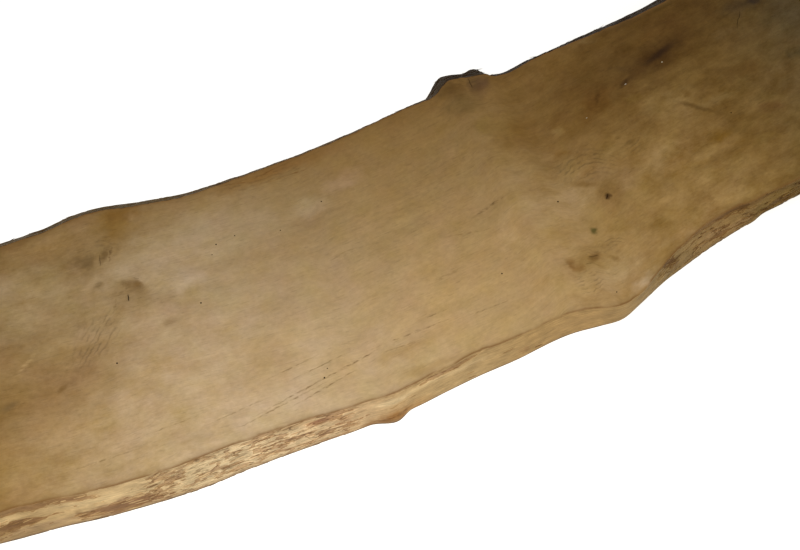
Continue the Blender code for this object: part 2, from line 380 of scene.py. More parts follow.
NEAR_SCRAPS = (
    Scrap((-556, 22), (36, 5.2), 0),
    Scrap((-600, 30), (50, 4), 0),
    Scrap((-428, 31), (54, 8.5), -2),
    Scrap((-540, 3), (34, 5), 0),
    Scrap((-480, 5), (30, 4), 3),
    Scrap((-370, 6), (18, 2.4), 5),
    Scrap((-200, 17), (26, 2.0), 0),
    Scrap((-170, 7), (16, 2.4), -3),
    Scrap((-166, 25), (12, 3), -6),
    Scrap((0, 5), (45, 2.6), -2),
    Scrap((330, 5), (20, 5), 30),
    Scrap((420, 3), (70, 3.4), 0),
    Scrap((418, 27), (22, 3), 5),
    Scrap((520, 26), (30, 6), 0),
)

FACE_CHECKS = (
    FaceCheck((-348, 108), (-352, 90), 0.8, 1.0),
    FaceCheck((-332, 39), (-334, 27), 1.5, 3.0),
    FaceCheck((304, -82), (298, -91), 1.8, 1.6),
    FaceCheck((236, -156), (250, -160), 1.0, 1.2),
    FaceCheck((226, -164), (238, -166), 0.8, 0.8),
    FaceCheck((620, 106), (600, 78), 0.9, 1.2),
    FaceCheck((212, 160), (210, 142), 1.0, 1.6),
    FaceCheck((-319, 58), (-311, 53), 0.8, 0.8),
)

INSECT_HOLES = (
    (-213, 47), (-203, 59), (-176, 61), (-375, -47), (-52, 62), (-136, -161), (-144, -171), (246, -216),
    (237, -67), (122, -132), (-118, 44), (-250, -12), (520, -40), (-640, 20), (-705, -60), (700, 60),
)  # fmt: skip

# Tone of the sawn wood at stations along the board, and how much darker it grows from the near edge to the far
# one. Both darken towards the right end and the far edge, partly as heartwood and partly as painted shade of a
# light that falls off that way.
FACE_ALONG_HEARTWOOD_AND_PAINTED_SHADE = {
    -900: "#A38352", -560: "#A4824F", -480: "#AF9064", -400: "#BA9D74", -300: "#C4A883", -200: "#C8AD88",
    -80: "#C1A47C", 40: "#BF9F70", 160: "#B69667", 280: "#A78654", 360: "#9A7844", 440: "#90703C",
    520: "#896936", 600: "#806538", 700: "#745F3C", 900: "#745F3C",
}  # fmt: skip
FACE_ACROSS_HEARTWOOD_AND_PAINTED_SHADE = {
    -215: "#FFFFFF", -160: "#FAFAF5", -100: "#F5F3EC", -40: "#E8E5DC", 20: "#DBD7CC", 70: "#CEC8B6",
    115: "#C4BDA9", 150: "#BFB59B", 200: "#A99874",
}  # fmt: skip
# Tone of the bare sapwood on each natural edge, at stations along the board. The far edge's tones are partly
# weathered bark residue and partly painted shade of an edge that faces away from the lamp.
NEAR_SAPWOOD = {
    -900: "#B19362", -560: "#B59666", -480: "#CDAD7C", -400: "#CEB183", -300: "#DDC398", -200: "#E1C397",
    -110: "#CFAE82", -40: "#C4A473", 40: "#BC9D6D", 120: "#B59360", 200: "#B08E5C", 260: "#A88959",
    330: "#967B4E", 420: "#9D7C4B", 520: "#876A36", 700: "#765D3A", 900: "#755E3B",
}  # fmt: skip
FAR_SAPWOOD_AND_PAINTED_SHADE = {
    -900: "#6E5A3C", -300: "#64502F", 60: "#6A502A", 170: "#3E2E18", 300: "#3A2B17", 900: "#3C3020",
}  # fmt: skip

END_CHECKS = (
    EndCheck(end=-1, offset=62.0, reach=118.0, mouth=3.4, lean=-9.0),
    EndCheck(end=-1, offset=-48.0, reach=52.0, mouth=2.2, lean=-6.0),
    EndCheck(end=1, offset=88.0, reach=86.0, mouth=2.8, lean=-13.0),
)


def linear(colour: str) -> tuple[float, float, float, float]:
    """Turns an sRGB hex colour into linear values with full alpha.

    Args:
        colour: A colour such as "#C9A97B".

    Returns:
        Its red, green, blue and alpha.
    """
    shares = [int(colour[at : at + 2], 16) / 255 for at in (1, 3, 5)]
    return (*(v / 12.92 if v <= 0.04045 else ((v + 0.055) / 1.055) ** 2.4 for v in shares), 1.0)


def add(
    tree: Tree,
    kind: str,
    inputs: dict[int | str, object] | None = None,
    out: str | None = None,
    **settings: object,
) -> Socket:
    """Adds a node with its settings and links.

    Args:
        tree: The tree that gets the node.
        kind: The node's type name.
        inputs: What each input takes: a socket to link, or a value.
        out: The output that is wanted. The first one in use, if it is left out.
        **settings: The node's own properties.

    Returns:
        The wanted output.
    """
    node = tree.nodes.new(kind)
    for name, value in settings.items():
        setattr(node, name, value)
    for key, value in (inputs or {}).items():
        if isinstance(value, Socket):
            tree.links.new(value, node.inputs[key])
        else:
            node.inputs[key].default_value = value
    return node.outputs[out] if out else next(socket for socket in node.outputs if socket.enabled)


def blend(tree: Tree, share: Socket, stops: dict[float, str]) -> Socket:
    """Reads a colour between stops.

    Args:
        tree: The material's nodes.
        share: Where to read, in the stops' own unit.
        stops: The sRGB colour at each place, in rising order.

    Returns:
        The colour.
    """
    places = list(stops)
    low, high = places[0], places[-1]
    share = add(tree, RANGE, {"Value": share, "From Min": low, "From Max": high})
    colour = add(tree, "ShaderNodeValToRGB", {0: share})
    elements = colour.node.color_ramp.elements
    elements[0].color, elements[1].color = linear(stops[low]), linear(stops[high])
    for place in places[1:-1]:
        elements.new((place - low) / (high - low)).color = linear(stops[place])
    return colour


def fade(tree: Tree, value: Socket, start: float, full: float, strength: float) -> Socket:
    """Lets an effect rise smoothly from nothing, where the value is `start`, to its strength at `full`."""
    ends = {"Value": value, "From Min": start, "From Max": full, "To Max": strength}
    return add(tree, RANGE, ends, interpolation_type="SMOOTHSTEP")


def drawn_noise(tree: Tree, place: Socket, size: tuple[float, ...], **settings: float) -> Socket:
    """Noise that is drawn out along the wood.

    Args:
        tree: The material's nodes.
        place: Where each point lies, in millimetres.
        size: The size of a wave along each axis, or along the first two.
        settings: Values of the noise's other sockets.

    Returns:
        Values from 0 to 1.
    """
    scale = (*(1.0 / length for length in size), *(0.0,) * (3 - len(size)))
    at = add(tree, VECTOR, {0: place, 1: scale}, operation="MULTIPLY")
    return add(tree, NOISE, {"Vector": at, "Scale": 1.0, **settings})


def seen_from(tree: Tree, place: Socket, spot: Patch | Swirl | Waves, half: tuple[float, float]) -> Socket:
    """Measures places from the middle of a spot.

    Args:
        tree: The material's nodes.
        place: Where each point lies on the surface.
        spot: What lies there, with its own place and turn.
        half: What counts as one along the spot and across it.

    Returns:
        Where each point lies along and across the spot.
    """
    turn = (0.0, 0.0, math.radians(spot.turn))
    own = {"Vector": place, "Location": (*spot.place, 0.0), "Rotation": turn, "Scale": (*half, 1.0)}
    return add(tree, "ShaderNodeMapping", own, vector_type="TEXTURE")


def curve(at: np.ndarray, values: np.ndarray, wanted: np.ndarray) -> np.ndarray:
    """Reads a smooth curve through given values.

    Args:
        at: Where the values stand, in rising order.
        values: One value, or one row of values, for each place.
        wanted: Where to read the curve.

    Returns:
        One value, or one row of values, for each wanted place.
    """
    slope = np.gradient(values, at, axis=0)
    index = np.clip(np.searchsorted(at, wanted, side="right") - 1, 0, len(at) - 2)
    gap = at[index + 1] - at[index]
    share = np.clip((wanted - at[index]) / gap, 0.0, 1.0)
    if values.ndim > 1:
        gap, share = gap[:, None], share[:, None]
    start, end = values[index], values[index + 1]
    return (
        (2 * share**3 - 3 * share**2 + 1) * start
        + (share**3 - 2 * share**2 + share) * slope[index] * gap
        + (3 * share**2 - 2 * share**3) * end
        + (share**3 - share**2) * slope[index + 1] * gap
    )


def step(low: float, high: float, value: np.ndarray) -> np.ndarray:
    """Rises smoothly from 0 at `low` to 1 at `high`."""
    share = np.clip((value - low) / (high - low), 0.0, 1.0)
    return share * share * (3.0 - 2.0 * share)


def ripple(u: np.ndarray, v: np.ndarray, seed: float, octaves: int = 1) -> np.ndarray:
    """Smooth noise over a surface, the same on each run.

    Args:
        u: First coordinate, one wave to a unit.
        v: Second coordinate, one wave to a unit.
        seed: Chooses the pattern.
        octaves: How many times it is added again at half the size and half the height.

    Returns:
        Values from about -1 to 1.
    """
    total = np.zeros(np.broadcast(u, v).shape)
    weight = 0.0
    for octave in range(octaves):
        scale = 2.0**octave
        cell_u, cell_v = np.floor(u * scale), np.floor(v * scale)
        share_u, share_v = step(0, 1, u * scale - cell_u), step(0, 1, v * scale - cell_v)
        corner = []
        for du, dv in ((0, 0), (1, 0), (0, 1), (1, 1)):
            mixed = (cell_u + du) * SCATTER[0] + (cell_v + dv) * SCATTER[1] + (seed + octave) * SCATTER[2]
            mixed = np.sin(mixed) * SCATTER[3]
            corner.append(2.0 * (mixed - np.floor(mixed)) - 1.0)
        low = corner[0] + share_u * (corner[1] - corner[0])
        high = corner[2] + share_u * (corner[3] - corner[2])
        total += (low + share_v * (high - low)) / scale
        weight += 1.0 / scale
    return total / weight


@dataclass
class SolidEdges:
    """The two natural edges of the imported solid, read back from its mesh as rows from foot to upper face."""

    node: bpy.types.Object
    reach: float = 45.0

    def __post_init__(self) -> None:
        """Reads the node's vertices once."""
        vertices = self.node.data.vertices
        places = np.empty(len(vertices) * 3, np.float32)
        vertices.foreach_get("co", places)
        self.places = places.reshape(-1, 3).astype(float) / MM
        self.heights = np.unique(self.places[:, 2].round(1))
        self.guide: dict[Side, np.ndarray] = {}
        self.guide = {side: self._row(side, len(self.heights) // 2) for side in Side}

    def _row(self, side: Side, level: int) -> np.ndarray:
        """Finds one row of the edge.

        Args:
            side: Which edge.
            level: The row's number, counted from the foot.

        Returns:
            The row's (along, across) places, in order along the board.
        """
        x, y, z = self.places.T
        found = (np.abs(z - self.heights[level]) < 0.2) & (y * side > 0)
        if self.guide:
            found &= np.abs(y - np.interp(x, *self.guide[side].T)) < self.reach
        row = np.column_stack((x[found], y[found]))
        row = row[np.lexsort((-side * row[:, 1], row[:, 0].round(1)))]
        return row[np.concatenate(([True], np.diff(row[:, 0]) > 0.5))]

    def across(self, side: Side, stations: np.ndarray, up: np.ndarray) -> np.ndarray:
        """Reads the edge's surface.

        Args:
            side: Which edge.
            stations: Places along the board.
            up: Shares of the way from the foot to the upper face.

        Returns:
            Where the edge lies across the board, one row for each share and one column for each station.
        """
        rows = []
        for level in range(len(self.heights)):
            row = self._row(side, level)
            rows.append(curve(row[:, 0], row[:, 1], stations))
        return curve(self.heights / self.heights[-1], np.array(rows), up)


@dataclass
class BarkedEdge:
    """What barking left on a natural edge: smooth sapwood, hollows with bast, and torn lips round them."""

    seed: float
    scraps: tuple[Scrap, ...]
    amounts: tuple[tuple[float, float], ...]  # (station, how readily bast shows there)
    threads: tuple[tuple[float, float], ...]  # (station, how readily it shows there in thin threads)
    scrap_size: tuple[float, float] = (24.0, 3.4)
    tear_size: tuple[float, float] = (8.0, 1.5)
    thread_size: tuple[float, float] = (40.0, 4.6)
    hollow: float = 1.1
    lip: float = 0.45
    fibre_size: tuple[float, float] = (34.0, 3.2)
    fibre_height: float = 0.16
    dent_size: tuple[float, float] = (30.0, 12.0)
    dent_depth: float = 0.55
    gnarl: float = 0.0
    gnarl_span: tuple[float, float] = (150.0, 250.0)
    gnarl_size: tuple[float, float] = (8.0, 6.0)
    wander: float = 1.8
    wander_size: tuple[float, float] = (34.0, 20.0)
    # How much the broad and the torn noise count where bast may show, and how fast a thread ends sideways.
    weights: tuple[float, float] = (0.62, 0.42)
    thread_fall: float = 4.0
    scrap_weights: tuple[float, float, float] = (0.9, 0.20, 0.36)  # of nearness, and of the two noises
    # Amounts of bast between which a lip rises and falls again, and between which the surface sinks.
    lip_levels: tuple[float, ...] = (0.30, 0.44, 0.46, 0.52)
    hollow_levels: tuple[float, float] = (0.46, 0.56)

    def _noise(
        self, x: np.ndarray, down: np.ndarray, size: tuple[float, float], pattern: float, octaves: int = 2
    ) -> np.ndarray:
        """Noise in waves of a given length and width, in a pattern of its own."""
        return ripple(x / size[0], down / size[1], self.seed + pattern, octaves)

    def bast(self, x: np.ndarray, down: np.ndarray) -> np.ndarray:
        """How much each place is bast.

        Args:
            x: Places along the board.
            down: How far down the slope they lie.

        Returns:
            Shares. Below 0.4 is bare sapwood, and above 0.5 is bast.
        """
        wander = down + self.wander * self._noise(x, down, self.wander_size, 3.0)
        broad = self._noise(x, wander, self.scrap_size, 0.0)
        torn = self._noise(x, wander, self.tear_size, 7.0)
        at, gain = np.array(self.amounts, float).T
        value = np.interp(x, at, gain) + self.weights[0] * broad + self.weights[1] * torn
        winding = np.abs(self._noise(x, wander, self.thread_size, 41.0))
        at, gain = np.array(self.threads, float).T
        value = np.maximum(value, np.interp(x, at, gain) + 0.5 - self.thread_fall * winding + 0.25 * torn)
        nearness, of_broad, of_torn = self.scrap_weights
        for scrap in self.scraps:
            turn = math.radians(scrap.turn)
            u, v = x - scrap.place[0], wander - scrap.place[1]
            u, v = u * math.cos(turn) + v * math.sin(turn), v * math.cos(turn) - u * math.sin(turn)
            away = np.sqrt((u / scrap.half[0]) ** 2 + (v / scrap.half[1]) ** 2)
            value = np.maximum(value, nearness * (1.0 - away) + of_torn * torn + of_broad * broad)
        return np.clip(0.45 + 0.5 * value, 0.0, 1.0)

    def relief(self, x: np.ndarray, down: np.ndarray, bast: np.ndarray) -> np.ndarray:
        """How far the surface stands out from the solid's.

        Args:
            x: Places along the board.
            down: How far down the slope they lie.
            bast: How much each place is bast.

        Returns:
            Heights in millimetres.
        """
        fibres = self.fibre_height * self._noise(x, down, self.fibre_size, 13.0)
        dents = self.dent_depth * self._noise(x, down, self.dent_size, 19.0)
        low, high = self.gnarl_span
        rough = step(low - 20, low + 5, x) * (1.0 - step(high - 5, high + 20, x))
        gnarl = self.gnarl * rough * self._noise(x, down, self.gnarl_size, 23.0, 3)
        lips = self.lip * step(*self.lip_levels[:2], bast) * (1.0 - step(*self.lip_levels[2:], bast))
        return fibres + dents + gnarl + lips - self.hollow * step(*self.hollow_levels, bast)


@dataclass
class EndCheckPath:
    """The plan of an end check as the skin follows it, in from its mouth and out again."""

    check: EndCheck
    half_length: float
    middle: float
    points: int = 14
    wander: float = 0.8

    def walls(self) -> tuple[np.ndarray, np.ndarray]:
        """Both walls of the check.

        Returns:
            The low and the high wall, each as (along, across) points from the mouth to the shared tip.
        """
        share = np.linspace(0.0, 1.0, self.points)
        x = self.check.end * (self.half_length - self.check.reach * share)
        centre = self.check.offset - self.middle + self.check.lean * share
        centre = centre + self.wander * share * ripple(share * 9.0, share * 0.0, self.check.reach, 2)
        half = 0.5 * self.check.mouth * (1.0 - share) ** 0.8
        return np.column_stack((x, centre - half)), np.column_stack((x, centre + half))


@dataclass
class BoardSkin:
    """The fine skin of the board: a fence of levels round its outline, closed by two sawn faces."""

    edges: SolidEdges
    barked: dict[Side, BarkedEdge]
    fine_span: tuple[float, float] = (-610.0, 740.0)
    fine_step: float = 1.35
    plain_step: float = 2.6
    far_step: float = 2.9
    levels: int = 39
    end_step: float = 4.0
    end_relief: float = 0.35
    eased: float = 0.35
    chip: float = 0.9
    chip_size: float = 11.0
    chip_from: float = 0.86  # share of the way up, above which the arris is chipped
    box_spare: float = 0.05
    end_border: float = 60.0
    sharp_degrees: float = 38.0
    solid_middle: float = -1.7

    def __post_init__(self) -> None:
        """Takes length, thickness and edges from the solid."""
        low, high = self.edges.places.min(0), self.edges.places.max(0)
        self.half_length = high[0]
        self.thickness = high[2] - low[2]
        self.limits = (low[1] + self.box_spare, high[1] - self.box_spare)
        self.up = np.linspace(0.0, 1.0, self.levels)
        start, end = self.fine_span
        near = np.concatenate((
            np.arange(-self.half_length, start, self.plain_step),
            np.arange(start, end, self.fine_step),
            np.arange(end, self.half_length - 1.0, self.plain_step),
            [self.half_length],
        ))  # fmt: skip
        count = round(2 * self.half_length / self.far_step) + 1
        far = np.linspace(-self.half_length, self.half_length, count)
        self.stations = {Side.NEAR: near, Side.FAR: far}
        self.across = {side: self.edges.across(side, self.stations[side], self.up) for side in Side}
        far_foot = np.interp(near, far, self.across[Side.FAR][0])
        self.middle_line = 0.5 * (self.across[Side.NEAR][0] + far_foot)

    def wane(self, side: Side) -> dict[str, np.ndarray]:
        """One natural edge with its relief.

        Args:
            side: Which edge.

        Returns:
            Places and marks, each as rows from the foot up.
        """
        across = self.across[side]
        x = np.repeat(self.stations[side][None, :], self.levels, 0)
        lean = side * (across[0] - across[-1])
        slope = np.hypot(lean, self.thickness)
        down = (1.0 - self.up)[:, None] * slope
        barked = self.barked[side]
        bast = barked.bast(x, down)
        relief = barked.relief(x, down, bast)
        held = np.sin(math.pi * self.up)[:, None]
        chipped = step(0.30, 0.75, ripple(x / self.chip_size, x * 0.0, barked.seed + 31.0, 3))
        out = relief * (0.45 + 0.55 * held) * self.thickness / slope
        out -= self.chip * chipped * step(self.chip_from, 1.0, self.up)[:, None]
        rise = relief * held * lean / slope
        height = np.clip((self.up * self.thickness)[:, None] + rise, 0.0, self.thickness)
        height[-1] -= self.eased
        height[0] += 0.5 * self.eased
        y = np.clip(across + side * out, *self.limits)
        return {"x": x, "y": y, "z": height, "border": down, "bast": bast, "pit": np.zeros_like(x)}

    def crosscut(self, end: int, near: np.ndarray, far: np.ndarray) -> dict[str, np.ndarray]:
        """The columns of one crosscut end, from the near edge to the far one.

        Args:
            end: -1 for the end at -X and 1 for the end at +X.
            near: Where the near edge lies at each level.
            far: Where the far edge lies at each level.

        Returns:
            The same arrays as a natural edge has.
        """
        columns: list[tuple[float, np.ndarray, float]] = []
        plane = end * self.half_length
        left = near
        for check in sorted((c for c in END_CHECKS if c.end == end), key=lambda c: c.offset):
            low_wall, high_wall = EndCheckPath(check, self.half_length, self.solid_middle).walls()
            columns += self._between(plane, left, np.full(self.levels, low_wall[0, 1]))
            for x, y in np.vstack((low_wall, high_wall[-2::-1])):
                columns.append((x, np.full(self.levels, y), abs(x - plane) / check.reach))
            left = np.full(self.levels, high_wall[0, 1])
        columns += self._between(plane, left, far)
        x = np.repeat([[c[0] for c in columns]], self.levels, 0)
        y = np.array([c[1] for c in columns]).T
        pit = np.repeat([[c[2] for c in columns]], self.levels, 0)
        rough = self.end_relief * (0.6 + 0.4 * ripple(y / 3.0, self.up[:, None] * 9.0, 41.0 + end, 2))
        x = x - end * rough * (pit == 0.0)
        z = np.repeat((self.up * self.thickness)[:, None], x.shape[1], 1)
        z[-1] -= self.eased
        z[0] += 0.5 * self.eased
        inland = np.full_like(x, self.end_border)
        return {"x": x, "y": y, "z": z, "border": inland, "bast": np.zeros_like(x), "pit": pit}

    def _between(
        self, plane: float, left: np.ndarray, right: np.ndarray
    ) -> list[tuple[float, np.ndarray, float]]:
        """Evenly spaced columns between two places, without the places themselves.

        Args:
            plane: Where the crosscut end lies along the board.
            left: Where the first place lies at each level.
            right: Where the second place lies at each level.

        Returns:
            Where each column lies along and across the board, and how deep in a check.
        """
        count = max(2, round(float(np.abs(right - left).mean()) / self.end_step))
        shares = np.linspace(0.0, 1.0, count + 1)[1:-1]
        return [(plane, left + share * (right - left), 0.0) for share in shares]

    def fence(self) -> dict[str, np.ndarray]:
        """The levels round the whole outline.

        Returns:
            Places, marks and cuts, with one row for each level and one column for each place.
        """
        near, far = self.wane(Side.NEAR), self.wane(Side.FAR)
        right = self.crosscut(1, near["y"][:, -1], far["y"][:, -1])
        left = self.crosscut(-1, near["y"][:, 0], far["y"][:, 0])
        turns = (
            (near, 1, Cut.NEAR_WANE),
            (right, 1, Cut.CROSSCUT),
            (far, -1, Cut.FAR_WANE),
            (left, -1, Cut.CROSSCUT),
        )
        fence = {name: np.hstack([part[name][:, ::turn] for part, turn, _ in turns]) for name in near}
        fence["cut"] = np.concatenate([np.full(part["x"].shape[1], int(cut)) for part, _, cut in turns])
        return fence

    def build(self, materials: dict[Cut, bpy.types.Material]) -> bpy.types.Object:
        """Makes the whole skin as one closed mesh.

        Args:
            materials: The finish of each cut.

        Returns:
            The board.
        """
        fence = self.fence()
        around = fence["x"].shape[1]
        places = np.column_stack([fence[name].ravel() for name in ("x", "y", "z")])
        marks = {mark: fence[mark.value].ravel() for mark in (Mark.BORDER, Mark.BAST, Mark.PIT)}
        index = np.arange(self.levels * around).reshape(self.levels, around)
        after = np.roll(index, -1, axis=1)
        faces = np.stack((index[:-1], after[:-1], after[1:], index[1:]), axis=-1).reshape(-1, 4).tolist()
        same = fence["cut"] == np.roll(fence["cut"], -1)
        cuts = np.tile(np.where(same, fence["cut"], int(Cut.CROSSCUT)), self.levels - 1).tolist()
        for cut, level in ((Cut.UPPER, self.levels - 1), (Cut.UNDER, 0)):
            plane = SawnPlane(self, cut, fence, level)
            extra, triangles, extra_marks = plane.fill(index[level], len(places))
            places = np.vstack((places, extra))
            marks = {mark: np.concatenate((values, extra_marks[mark])) for mark, values in marks.items()}
            faces += triangles
            cuts += [int(cut)] * len(triangles)
        mesh = bpy.data.meshes.new("oak_board")
        mesh.from_pydata((places * MM).tolist(), [], faces)
        for cut in Cut:
            mesh.materials.append(materials[cut])
        mesh.polygons.foreach_set("material_index", np.array(cuts, np.int32))
        self._write_marks(mesh, places, marks)
        self._turn_outwards(mesh)
        mesh.shade_smooth()
        mesh.set_sharp_from_angle(angle=math.radians(self.sharp_degrees))
        board = bpy.data.objects.new("oak_board", mesh)
        bpy.context.scene.collection.objects.link(board)
        return board

    def _write_marks(self, mesh: bpy.types.Mesh, places: np.ndarray, marks: dict[Mark, np.ndarray]) -> None:
        """Writes each mark as an attribute of the vertices.

        Args:
            mesh: The skin.
            places: Its vertices.
            marks: The marks that the fence and the sawn faces brought.
        """
        x, y, z = places.T
        middle = np.interp(x, self.stations[Side.NEAR], self.middle_line)
        vectors = {
            Mark.GRAIN: np.column_stack((x, y - middle, z)),
            Mark.PLAN: np.column_stack((x, y, 0.0 * z)),
        }
        for mark, values in vectors.items():
            layer = mesh.attributes.new(mark.value, "FLOAT_VECTOR", "POINT")
            layer.data.foreach_set("vector", values.astype(np.float32).ravel())
        for mark, values in marks.items():
            layer = mesh.attributes.new(mark.value, "FLOAT", "POINT")
            layer.data.foreach_set("value", values.astype(np.float32))

    @staticmethod
    def _turn_outwards(mesh: bpy.types.Mesh) -> None:
        """Points every face of the closed skin outwards.

        Args:
            mesh: The skin.
        """
        work = bmesh.new()
        work.from_mesh(mesh)
        bmesh.ops.recalc_face_normals(work, faces=work.faces)
        work.to_mesh(mesh)
        work.free()


@dataclass
class SawnPlane:
    """One sawn face of the skin: triangles from its outline inwards, finer round knots, checks and holes."""

    skin: BoardSkin
    cut: Cut
    fence: dict[str, np.ndarray]
    level: int
    grid: float = 15.0
    insets: tuple[tuple[float, int], ...] = ((1.6, 2), (5.0, 4), (11.0, 8))
    # The check depth at which the painted shade inside a check is full.
    dark_depth: float = 4.0
    hole_radius: float = 0.95
    hole_depth: float = 4.5
    hole_sides: int = 8
    knot_step: float = 3.2
    knot_depth: float = 0.5
    knot_border: float = 12.0
    grid_border: float = 18.0
    clear: float = 2.6

    def fill(
        self, outline: np.ndarray, first: int
    ) -> tuple[np.ndarray, list[list[int]], dict[Mark, np.ndarray]]:
        """Fills the outline.

        Args:
            outline: The skin's vertex numbers round the face.
            first: The number that the face's first new vertex gets.

        Returns:
            The new vertices, the triangles, and the new vertices' marks.
        """
        border = np.column_stack((self.fence["x"][self.level], self.fence["y"][self.level]))
        count = len(border)
        self.points: list[tuple[float, float]] = []
        self.depths: list[float] = []
        self.pits: list[float] = []
        self.ties: list[tuple[int, int]] = []
        self._inset_rows()
        if self.cut is Cut.UPPER:
            self._checks()
            self._holes()
            self._knot_rings()
        self._grid_points()
        flat = np.array(self.points)
        ties = [(i, (i + 1) % count) for i in range(count)] + [(a + count, b + count) for a, b in self.ties]
        everything = [Vector(point) for point in np.vstack((border, flat)).tolist()]
        _, _, found, origins, _, _ = geometry.delaunay_2d_cdt(everything, ties, [], 1, 1e-4)
        numbers = [None if not old else int(outline[old[0]]) if old[0] < count else first + old[0] - count
                   for old in origins]  # fmt: skip
        if None in numbers:
            LOG.warning("%s: %d crossings in the plan", self.cut.name, numbers.count(None))
        triangles = [[numbers[i] for i in face] for face in found]
        triangles = [face for face in triangles if None not in face]
        upper = self.cut is Cut.UPPER
        height = (self.skin.thickness if upper else 0.0) + (-1.0 if upper else 1.0) * np.array(self.depths)
        inside = self._inside(flat) + (0.0 if upper else self.skin.end_border)
        marks = {Mark.BORDER: inside, Mark.BAST: np.zeros(len(flat)), Mark.PIT: np.array(self.pits)}
        return np.column_stack((flat, height)), triangles, marks

    def _edge(self, side: Side, x: np.ndarray) -> np.ndarray:
        """Where an edge of this face lies.

        Args:
            side: Which edge.
            x: Places along the board.

        Returns:
            Places across the board.
        """
        chosen = self.fence["cut"] == (Cut.NEAR_WANE if side is Side.NEAR else Cut.FAR_WANE)
        along, across = self.fence["x"][self.level][chosen], self.fence["y"][self.level][chosen]
        order = np.argsort(along)
        return np.interp(x, along[order], across[order])

    def _inside(self, flat: np.ndarray) -> np.ndarray:
        """How far points lie inside the nearer natural edge.

        Args:
            flat: Their places, along and across.

        Returns:
            Distances across the board.
        """
        near = flat[:, 1] - self._edge(Side.NEAR, flat[:, 0])
        far = self._edge(Side.FAR, flat[:, 0]) - flat[:, 1]
        return np.minimum(near, far)

    def _put(self, point: tuple[float, float], depth: float = 0.0, pit: float = 0.0) -> int:
        """Adds a point to the face.

        Args:
            point: Where it lies, along and across.
            depth: How far it lies below the sawn surface.
            pit: How deep it is in a check or hole, from 0 to 1.

        Returns:
            The point's number.
        """
        self.points.append((float(point[0]), float(point[1])))
        self.depths.append(depth)
        self.pits.append(pit)
        return len(self.points) - 1

    def _inset_rows(self) -> None:
        """Rows that follow both natural edges a little way in, so that the eased arris shades well."""
        half = self.skin.half_length
        for distance, every in self.insets:
            for side in Side:
                chosen = self.skin.stations[side][every // 2 :: every]
                chosen = chosen[np.abs(chosen) < half - 1.5]
                for x, y in zip(chosen, self._edge(side, chosen)):
                    self._put((x, y - side * distance), 0.04 if distance < 2 else 0.0)

    def _checks(self) -> None:
        """Cuts each face check as a groove with sloping walls and a ragged line."""
        for check in FACE_CHECKS:
            start, end = np.array(check.start, float), np.array(check.end, float)
            run = end - start
            length = float(np.hypot(*run))
            out = np.array((-run[1], run[0])) / length
            share = np.linspace(0.0, 1.0, max(4, round(length / 3.0)) + 1)
            bend = 0.05 * length * ripple(share * 4.0, share * 0.0, length, 2)
            middle = start + share[:, None] * run + bend[:, None] * out
            half = 0.5 * check.width * np.sin(math.pi * share) ** 0.6
            tips = (self._put(middle[0]), self._put(middle[-1]))
            inner = list(zip(middle[1:-1], half[1:-1]))
            # How dark the painted shade inside this check is, from its depth.
            dark = min(1.0, check.depth / self.dark_depth)
            low = [self._put(m - h * out, 0.1, 0.3 * dark) for m, h in inner]
            high = [self._put(m + h * out, 0.1, 0.3 * dark) for m, h in inner]
            floor = [self._put(m, check.depth, dark) for m, _ in inner]
            for row in (low, high, floor):
                chain = [tips[0], *row, tips[1]]
                self.ties += list(zip(chain, chain[1:]))

    def _holes(self) -> None:
        """Sinks each insect hole with steep walls."""
        turns = np.arange(self.hole_sides) * 2 * math.pi / self.hole_sides
        for number, place in enumerate(INSECT_HOLES):
            radius = self.hole_radius * (0.75 + 0.5 * ((number * 0.618) % 1.0))
            for share, depth, pit in ((1.25, 0.0, 0.0), (1.0, 0.05, 0.6), (0.8, self.hole_depth, 1.0)):
                ring = []
                for a in turns:
                    point = (place[0] + share * radius * math.cos(a), place[1] + share * radius * math.sin(a))
                    ring.append(self._put(point, depth, pit))
                self.ties += list(zip(ring, ring[1:] + ring[:1]))
            self._put(place, self.hole_depth, 1.0)

    def _knot_rings(self) -> None:
        """Rings of points round each knot, which sink its middle a little."""
        for knot in KNOTS:
            taken = np.array(self.points)
            turn = math.radians(knot.turn)
            wide = max(knot.half)
            for ring in np.arange(0.0, 1.9, self.knot_step / wide):
                count = max(1, round(2 * math.pi * ring * wide / self.knot_step))
                for a in np.arange(count) * 2 * math.pi / count + ring * 5.0:
                    u, v = ring * knot.half[0] * math.cos(a), ring * knot.half[1] * math.sin(a)
                    point = np.array((knot.place[0] + u * math.cos(turn) - v * math.sin(turn),
                                      knot.place[1] + u * math.sin(turn) + v * math.cos(turn)))  # fmt: skip
                    crowded = np.hypot(*(taken - point).T).min() < 0.6 * self.clear
                    if crowded or self._inside(point[None])[0] < self.knot_border:
                        continue
                    uneven = float(ripple(np.array(u / 4), np.array(v / 4), 3.0, 2))
                    self._put(point, max(0.0, self.knot_depth * (1.0 - ring) + 0.12 * uneven))

    def _grid_points(self) -> None:
        """Scattered points over the rest of the face."""
        half = self.skin.half_length
        rows = np.arange(-half + 6, half - 5, self.grid)
        columns = np.arange(-260, 261, self.grid)
        x, y = (part.ravel() for part in np.meshgrid(rows, columns, indexing="ij"))
        x = x + 0.3 * self.grid * ripple(x * 0.37, y * 0.41, 51.0)
        y = y + 0.3 * self.grid * ripple(x * 0.43, y * 0.39, 57.0)
        wanted = np.column_stack((x, y))
        wanted = wanted[(self._inside(wanted) > self.grid_border) & (np.abs(wanted[:, 0]) < half - 2.0)]
        taken = [np.array(self.points)]
        for check in END_CHECKS:
            taken += EndCheckPath(check, half, self.skin.solid_middle).walls()
        taken = np.vstack(taken)
        for point in wanted:
            if np.abs(taken - point).max(1).min() > self.clear:
                self._put(point)


